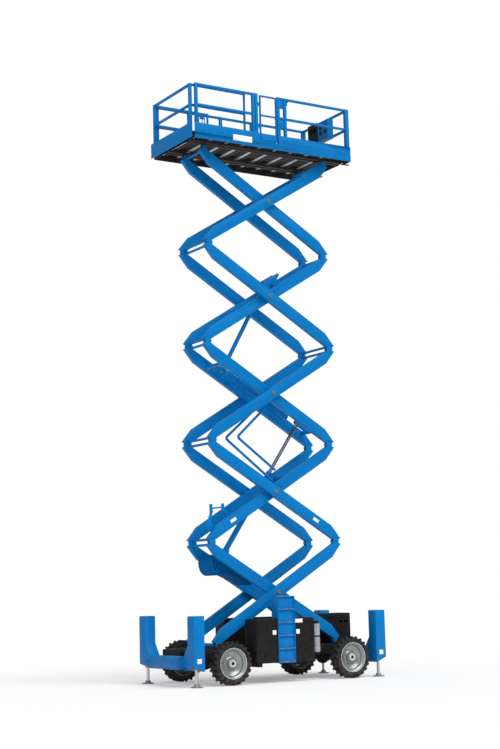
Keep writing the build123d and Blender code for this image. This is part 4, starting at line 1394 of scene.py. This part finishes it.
# ------------------------------------------------------------------ modules, ladder, canister
@dataclass
class Modules(Assembly):
    """Panel joints, latches, hinges, louvres and blank plates on the moulded covers."""

    seam: float = 0.004
    strip_edge: float = 0.0015
    louvres: int = 9
    louvre_foot: float = 0.60
    louvre_pitch: float = 0.045
    louvre_length: float = 0.34
    louvre_height: float = 0.022
    hinge_radius: float = 0.007
    hinge_half: float = 0.035
    exhaust_radius: float = 0.030
    slot_length: float = 0.085
    canister_inset: Pair = (0.0785, 0.078)
    canister_radius: float = 0.0775
    strap_height: float = 0.86

    FILLER = ((0.0, 0.0), (0.052, 0.0), (0.054, -0.004), (0.054, -0.020), (0.0, -0.020))

    def build(self) -> None:
        """Dresses the covers."""
        self._near_module()
        self._engine_cover()
        self._end_box()
        self._canister()

    def _strip(self, name: str, low: Point, high: Point) -> Obj:
        """Slim raised strip."""
        return self.bench.block(name, low, high, self.strip_edge)

    def _upright_seam(self, x: float, inner: float, outer: float, low: Vector, high: Vector) -> Obj:
        """Door joint up a cover's side face, from inside the face to outside it."""
        return self._strip("seam", (x - self.seam, inner, low.z + 0.05),
                           (x + self.seam, outer, high.z - 0.06))

    def _near_module(self) -> None:
        """Door joints, latches, hinge knuckles and blank plates beside the ladder."""
        low, high = self.packed.box("near_module")
        left, right = (corner.x for corner in self.packed.box("ladder"))
        face, bench = low.y, self.bench
        inner, outer = face + 0.001, face - 0.0035
        parts = [self._upright_seam(x, inner, outer, low, high)
                 for x in (low.x + 0.235, left - 0.045, right + 0.045, high.x - 0.105)]
        for start, end in ((low.x + 0.06, left - 0.05), (right + 0.05, high.x - 0.06)):
            for z in (low.z + 0.055, high.z - 0.065):
                parts.append(self._strip("seam", (start, inner, z - self.seam), (end, outer, z + self.seam)))
        z = high.z - 0.20
        for x in (low.x + 0.30, left - 0.10, high.x - 0.16):
            parts += [bench.block("dish", (x - 0.045, face, z - 0.032), (x + 0.045, face - 0.005, z + 0.032)),
                      bench.block("paddle", (x - 0.030, face - 0.003, z - 0.020),
                                  (x + 0.030, face - 0.0005, z + 0.012), 0.002)]
        for x in (low.x + 0.235, high.x - 0.105):
            for z in (low.z + 0.16, high.z - 0.22):
                parts.append(bench.rod("hinge", (x, face - 0.002, z - self.hinge_half),
                                       (x, face - 0.002, z + self.hinge_half), self.hinge_radius, 20))
        self.fit("near_module_seams", parts, "chassis", BLACK)
        spots = ((left - 0.127, left - 0.043, 0.945, 1.035), (right + 0.028, right + 0.112, 0.945, 1.035),
                 (right + 0.012, right + 0.185, 1.165, 1.240))
        plates = [self._strip("plate", (start, inner, foot), (end, face - 0.004, head))
                  for start, end, foot, head in spots]
        self.fit("near_module_blank_plates", plates, "chassis", BLANK)

    def _engine_cover(self) -> None:
        """Louvres, door joints, latches and the exhaust on the engine side."""
        low, high = self.packed.box("engine_cover")
        face, middle, bench = high.y, (low.x + high.x) / 2, self.bench
        parts = []
        for k in range(self.louvres):
            z = self.louvre_foot + self.louvre_pitch * k
            for x in (low.x + 0.18, high.x - 0.52):
                end = (x + self.louvre_length, face + 0.006, z + self.louvre_height)
                slat = bench.block("slat", (x, face - 0.004, z), end, 0.002)
                with bench.picked(slat, lambda at: at.y > face + 0.002 and at.z < z + self.louvre_height / 2):
                    bpy.ops.transform.translate(value=(0, 0, -0.006))
                parts.append(slat)
        for x in (low.x + 0.09, middle, high.x - 0.09):
            parts.append(self._upright_seam(x, face - 0.003, face + 0.004, low, high))
        for x in (middle - 0.08, middle + 0.08):
            parts.append(bench.block("paddle", (x - 0.030, face - 0.004, 1.05),
                                     (x + 0.030, face + 0.009, 1.09), 0.003))
        x = low.x + 0.20
        parts.append(bench.pipe("exhaust", [(x, 0.80, high.z - 0.05), (x, 0.80, high.z - 0.001)],
                                self.exhaust_radius))
        self.fit("engine_cover_fittings", parts, "engine_tray", BLACK)

    def _end_box(self) -> None:
        """Vent slots, a filler cap and lid joint on the tank box."""
        low, high = self.packed.box("end_tank_box")
        bench, top = self.bench, high.z
        parts = []
        for side in Side:
            sign, face = side.value, side.value * high.y
            for x in (high.x - 0.30, high.x - 0.17):
                for drop in (0.19, 0.202):
                    parts.append(bench.block("slot", (x, face, top - drop),
                                             (x + self.slot_length, face - sign * 0.006, top - 0.15), 0.002))
            parts.append(self._strip("seam", (low.x + 0.04, face, top - 0.095),
                                     (high.x - 0.04, face - sign * 0.0005, top - 0.088)))
        cap = bench.turned("cap", self.FILLER, 40)
        parts.append(bench.placed(cap, "cap", upright(low.x + 0.16, 0.12, top)))
        self.fit("end_box_fittings", parts, "chassis", DARK_STEEL)

    def _canister(self) -> None:
        """Pale canister with pressed rings, a dark strap and a dark cap."""
        low, high = self.packed.box("canister")
        x, y = high.x - self.canister_inset[0], low.y + self.canister_inset[1]
        radius, foot, top = self.canister_radius, low.z, high.z
        bench, place = self.bench, upright(x, y)
        groove = radius - 0.002
        body = bench.turned("body", [
            (0.0, foot), (0.060, foot), (0.072, foot + 0.008), (radius, foot + 0.020), (radius, foot + 0.10),
            (groove, foot + 0.104), (groove, foot + 0.112), (radius, foot + 0.116), (radius, top - 0.13),
            (groove, top - 0.126), (groove, top - 0.118), (radius, top - 0.114), (radius, top - 0.075),
            (0.070, top - 0.062), (0.0, top - 0.060)], 64)
        bench.fit(bench.placed(body, "canister_body", place), "chassis", CANISTER, ("canister",), 30.0)
        cap = bench.turned("cap", [(0.0, top - 0.062), (0.058, top - 0.062), (0.060, top - 0.055),
                                   (0.060, top - 0.010), (0.054, top), (0.0, top)], 48)
        z = self.strap_height
        inner, outer = radius - 0.003, radius + 0.0008
        strap = bench.turned("strap", [(inner, z), (outer, z + 0.001), (outer, z + 0.034), (inner, z + 0.035),
                                       (inner, z)], 64)
        bracket = bench.block("bracket", (low.x, y - 0.020, 0.70), (x - 0.06, y + 0.020, 0.78), 0.003)
        parts = [bench.placed(cap, "canister_top", place), bench.placed(strap, "strap", place), bracket]
        self.fit("canister_fittings", parts, "chassis", BLACK)


@dataclass
class Ladder(Assembly):
    """Nosings, grip strips, risers and bolts of the ladder."""

    treads: int = 5
    tread_height: float = 0.026
    grips: int = 7
    grip_start: float = 0.030
    grip_pitch: float = 0.028
    bolt_size: float = 0.008

    def build(self) -> None:
        """Makes the tread nosings, risers and bolts."""
        low, high = self.packed.box("ladder")
        bench, pitch = self.bench, (high.z - low.z - self.tread_height) / self.treads
        steps = [low.z + i * pitch for i in range(self.treads + 1)]
        strips, bolts = [], []
        for z in steps:
            strips.append(bench.block("nosing", (low.x + 0.004, low.y, z + 0.016),
                                      (high.x - 0.004, low.y + 0.004, z + 0.0265), 0.001))
            for k in range(self.grips if z < steps[-1] else 0):
                y = low.y + self.grip_start + self.grip_pitch * k
                strips.append(bench.block("grip", (low.x + 0.030, y, z + 0.025),
                                          (high.x - 0.030, y + 0.008, z + 0.0285), 0.001))
        self.fit("ladder_nosings", strips, "chassis", PALE_BAR)
        risers = [bench.block("riser", (low.x + 0.010, low.y + 0.030, z + 0.024),
                              (high.x - 0.010, low.y + 0.035, above + 0.002), 0.001)
                  for z, above in zip(steps, steps[1:])]
        self.fit("ladder_risers", risers, "chassis", BLUE)
        for z in (low.z + 0.10, (low.z + high.z) / 2, high.z - 0.45):
            for x, sign in ((low.x, -1), (high.x, 1)):
                bolts += [((x - sign * 0.013, y, z + 0.04), (-sign, 0, 0))
                          for y in (low.y + 0.16, low.y + 0.21)]
        bench.fit(bench.bolts("ladder_bolts", bolts, self.bolt_size), "chassis", ZINC)


# ------------------------------------------------------------------ platform
@dataclass
class Platform(Assembly):
    """Deck in its colours, pale bars, tread pattern, post feet, gate fittings and controls."""

    bars: int = 9
    bar_start: float = 0.14
    bar_pitch: float = 0.40
    bar_width: float = 0.105
    tread_pitch: float = 0.062
    tread_rib: Point = (0.034, 0.009, 0.0040)
    deck_tread: tuple[Pair, float] = ((-0.58, 1.84), 0.80)
    extension_half: float = 0.70
    sheet_drop: float = 0.0145
    bar_height: float = 0.006
    runner_lift: float = 0.0035
    extension_rise: float = 0.020
    plate_reach: Pair = (0.640, 0.180)
    plate_heights: Pair = (11.088, 11.214)
    switches: Sequence[float] = (0.10, 0.20, 0.30)
    switch_radius: float = 0.013
    spring_radius: float = 0.013
    knob_radius: float = 0.019
    latch_pin_radius: float = 0.010
    latch_bar_radius: float = 0.012

    BOOT = ((0.0, -0.002), (0.034, -0.002), (0.030, 0.010), (0.020, 0.018), (0.014, 0.030), (0.0, 0.030))
    BUTTON = ((0.0, 0.0), (0.020, 0.0), (0.020, -0.008), (0.012, -0.010), (0.012, -0.018), (0.0, -0.018))
    LATCH_PINS = ((0.03, 0.33), (0.11, 0.38), (0.17, 0.36), (0.23, 0.28))

    def build(self) -> None:
        """Dresses the platform."""
        self.floor = self.packed.box("platform_rails")[0].z
        self._deck()
        self._bars()
        self._tread_plate("deck_tread", "platform", *self.deck_tread, self.floor + 0.0005)
        low, high = self.packed.box("extension_deck")
        self._tread_plate("extension_tread", "extension", (low.x + 0.05, high.x - 0.03), self.extension_half,
                          self.floor + self.extension_rise)
        self._runners()
        self._plate()
        self._post_feet()
        self._gate_toe_board()
        self._latch()
        self._roll_out_latch()
        self._controls()

    def _deck(self) -> None:
        """Rounded deck weldment: blue outside; the floor sheet is dark, and the frame's down-facing and
        inside faces are dark as painted shade.
        """
        low, high = self.packed.box("platform_deck")

        def dark(face: bpy.types.MeshPolygon) -> bool:
            """Says whether a face is on the deck's floor sheet, or is a down-facing or inside face that takes
            painted shade.
            """
            at, out = face.center, face.normal
            edge = abs(at.y) > high.y - 0.0005 or at.x < low.x + 0.0005 or at.x > high.x - 0.2155
            # Painted shade: faces inside the frame below the floor, and faces that look down, take the dark
            # finish.
            inside = at.z < self.floor - 0.001 and not edge
            under = out.z < -0.9 and abs(at.y) < high.y - 0.01
            return inside or under or abs(at.z - self.floor) < 0.001 and out.z > 0.9

        self.bench.shop.repaint(self.shell("platform_deck", BLUE, 0.003), DECK_SHEET_AND_SHADE, dark)

    def _bars(self) -> None:
        """Pale bars under the floor, across the deck, between its frame sides."""
        low, high = self.packed.box("platform_deck")
        side, under = high.y - 0.010, self.floor - self.sheet_drop
        starts = [low.x + self.bar_start + self.bar_pitch * i for i in range(self.bars)]
        bars = [self.bench.block("bar", (x, -side, under - self.bar_height),
                                 (x + self.bar_width, side, under), 0.001)
                for x in starts]
        self.fit("under_floor_bars", bars, "platform", PALE_BAR)

    def _tread_plate(self, name: str, body: str, reach: Pair, half: float, z: float) -> None:
        """Raised lozenges of a tread plate, in alternate directions.

        Args:
            name: The piece's name.
            body: The body it rides on.
            reach: Its lowest and highest X.
            half: Half its width.
            z: Height of the sheet.
        """
        rib = self.bench.cube("rib", (0, 0, 0), self.tread_rib)
        with self.bench.picked(rib, lambda at: at.z > 0):
            bpy.ops.transform.resize(value=(0.78, 0.45, 1.0))
        ribs, step = [], self.tread_pitch
        for i in range(int((reach[1] - reach[0]) / step)):
            for k in range(int(2 * half / step)):
                turn = Matrix.Rotation(math.radians(45 if (i + k) % 2 else -45), 4, "Z")
                place = Matrix.Translation((reach[0] + step * (i + 0.5), step * (k + 0.5) - half, z + 0.0018))
                ribs.append(self.bench.copied(rib, f"{name}_{i}_{k}", place @ turn))
        self.bench.scrap(rib)
        self.fit(name, ribs, body, DECK_SHEET_AND_SHADE)

    def _runners(self) -> None:
        """Lifts the roll-out deck's runners clear of the floor's rolled edge."""
        with self.bench.picked(bpy.data.objects["extension_deck_shell"],
                               lambda at: self.floor - 0.001 < at.z < self.floor + 0.003):
            bpy.ops.transform.translate(value=(0, 0, self.runner_lift))

    def _plate(self) -> None:
        """Blank white plate on the near toe board."""
        face = self.packed.box("platform_deck")[0].y
        x = self.packed.box("entry_gate")[0].x
        (start, end), (foot, head) = self.plate_reach, self.plate_heights
        plate = self.bench.block("platform_blank_plate", (x - start, face - 0.0045, foot),
                                 (x - end, face + 0.001, head), 0.0012)
        self.bench.fit(plate, "platform", BLANK)

    def _post_feet(self) -> None:
        """Weld pads at the feet of the near rail posts."""
        low = self.packed.box("platform_rails")[0]
        left, right = (corner.x for corner in self.packed.box("entry_gate"))
        y = low.y + 0.030
        feet = [self.bench.block("foot", (x - 0.040, y - 0.0295, low.z + 0.0005),
                                 (x + 0.040, y + 0.034, low.z + 0.008))
                for x in (low.x + 0.030, left - 0.110, left - 0.036, right + 0.038, right + 0.208)]
        self.fit("post_feet", feet, "platform", BLUE)

    def _gate_toe_board(self) -> None:
        """Folded toe board across the foot of the gate."""
        low, high = self.packed.box("entry_gate")
        top, y, end = self.packed.box("platform_deck")[1].z, low.y + 0.004, high.x - 0.034
        board = self.bench.block("board", (low.x + 0.003, y, self.floor + 0.012), (end, y + 0.005, top),
                                 0.0015)
        lip = self.bench.block("lip", (low.x + 0.034, y, top - 0.005), (end, y + 0.022, top), 0.0015)
        self.fit("gate_toe_board", [board, lip], "gate", BLUE)

    def _latch(self) -> None:
        """Spring latch of the gate on its closing post."""
        low, high = self.packed.box("platform_rails")
        x, y, top = self.packed.box("entry_gate")[1].x + 0.259, low.y + 0.030, high.z
        body = self.bench.block("body", (x - 0.025, y - 0.022, top - 0.085),
                                (x + 0.025, y + 0.022, top - 0.012), 0.005)
        spring = self.bench.rod("spring", (x, y, top - 0.135), (x, y, top - 0.080), self.spring_radius, 24)
        knob = self.bench.rod("knob", (x, y, top - 0.150), (x, y, top - 0.135), self.knob_radius, 24, 0.004)
        self.fit("gate_latch", [body, spring, knob], "platform", BLACK)

    def _roll_out_latch(self) -> None:
        """Roll-out deck's latch with its pins and handle inside the near left corner."""
        low, bench = self.packed.box("extension_deck")[0], self.bench
        x, y, z = low.x + 0.22, low.y + 0.150, self.floor + self.extension_rise
        parts = [bench.block("base", (x, y - 0.035, z), (x + 0.26, y + 0.035, z + 0.014))]
        parts += [bench.rod("pin", (x + dx, y, z + 0.010), (x + dx, y, z + tall), self.latch_pin_radius, 20)
                  for dx, tall in self.LATCH_PINS]
        parts += [bench.rod("bar", (x - 0.03, y, z + 0.34), (x + 0.19, y, z + 0.37),
                            self.latch_bar_radius, 20),
                  bench.block("handle", (x + 0.06, y - 0.014, z + 0.30), (x + 0.15, y + 0.014, z + 0.40),
                              0.006)]
        self.fit("roll_out_latch", parts, "extension", BLUE)

    def _controls(self) -> None:
        """Control box and outlet box with their switches, stick, stop button and socket covers."""
        low, high = self.packed.box("control_box")
        front, top, bench = low.x, high.z, self.bench
        box = self.shell("control_box", BLACK)
        bench.shop.repaint(box, BLUE, lambda face: face.center.y < 0.0205)
        switches = []
        for y in self.switches:
            switches += [bench.rod("switch", (front + 0.004, y, top - 0.16),
                                   (front, y, top - 0.16), self.switch_radius, 24),
                         bench.block("plate", (front + 0.003, y - 0.03, top - 0.21),
                                     (front, y + 0.03, top - 0.11), 0.001)]
        stick = bench.placed(bench.turned("boot", self.BOOT, 32), "stick",
                             upright(front + 0.085, 0.115, top - 0.030))
        button = bench.placed(bench.turned("button", self.BUTTON, 32), "button",
                              upright(front + 0.085, 0.300, top))
        self.fit("control_switches", switches, "platform", DARK_STEEL)
        self.fit("control_stick", [stick], "platform", HOSE)
        self.fit("stop_button", [button], "platform", RED)
        covers = [bench.block("cover", (front + 0.021, y - 0.05, z - 0.04),
                              (front + 0.016, y + 0.05, z + 0.04), 0.002)
                  for z in (top - 0.16, top - 0.28) for y in (-0.28, -0.11)]
        self.fit("outlet_covers", covers, "platform", COVER)


# ------------------------------------------------------------------ lift cylinders, axles
@dataclass
class Cylinders(Assembly):
    """Blue barrels and chrome rods, whose eyes are blue on their sides."""

    shaft_share: float = 0.85

    def build(self) -> None:
        """Paints the barrels and polishes the rods."""
        for name in ("lower_lift", "upper_lift"):
            self.shell(f"{name}_barrel", BLUE, smooth=32.0)
            shaft = self.shaft_share * self.packed.box(f"{name}_rod")[1].y
            rod = self.shell(f"{name}_rod", LIFT_ROD, smooth=32.0)
            self.bench.shop.repaint(rod, BLUE, lambda face: abs(face.center.y) > shaft)


@dataclass
class RunningGear(Assembly):
    """Round covers on the axles."""

    height: float = 0.42

    PROFILE = ((0.0, 0.150), (0.060, 0.149), (0.085, 0.140), (0.105, 0.122), (0.112, 0.118),
               (0.112, 0.106), (0.0, 0.106))

    def build(self) -> None:
        """Turns a cover for each axle and mounts it."""
        for end, angle in zip(ENDS, (90, -90)):
            low, high = self.packed.box(f"{end}_axle")
            place = Matrix.Translation(((low.x + high.x) / 2, 0, self.height))
            turn = Matrix.Rotation(math.radians(angle), 4, "Z")
            cover = self.bench.placed(self.bench.turned("cover", self.PROFILE, 48), f"{end}_axle_cover",
                                      place @ turn)
            self.bench.fit(cover, "chassis", DARK_STEEL)


def main() -> None:
    """Builds every sub-assembly in order."""
    logging.basicConfig(level=logging.INFO, format="%(name)sign: %(message)sign")
    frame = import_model()
    bpy.context.scene.view_settings.view_transform = "Standard"
    bench, packed = Bench(Paintshop()), Packed(frame)
    Studio().build()
    Weldments(bench, packed).build()
    for end in ENDS:
        for side in Side:
            Wheel(bench, packed, end, side).build()
    for assembly in (Stack, Outriggers, Modules, Ladder, Platform, Cylinders, RunningGear):
        assembly(bench, packed).build()


if __name__ == "__main__":
    main()
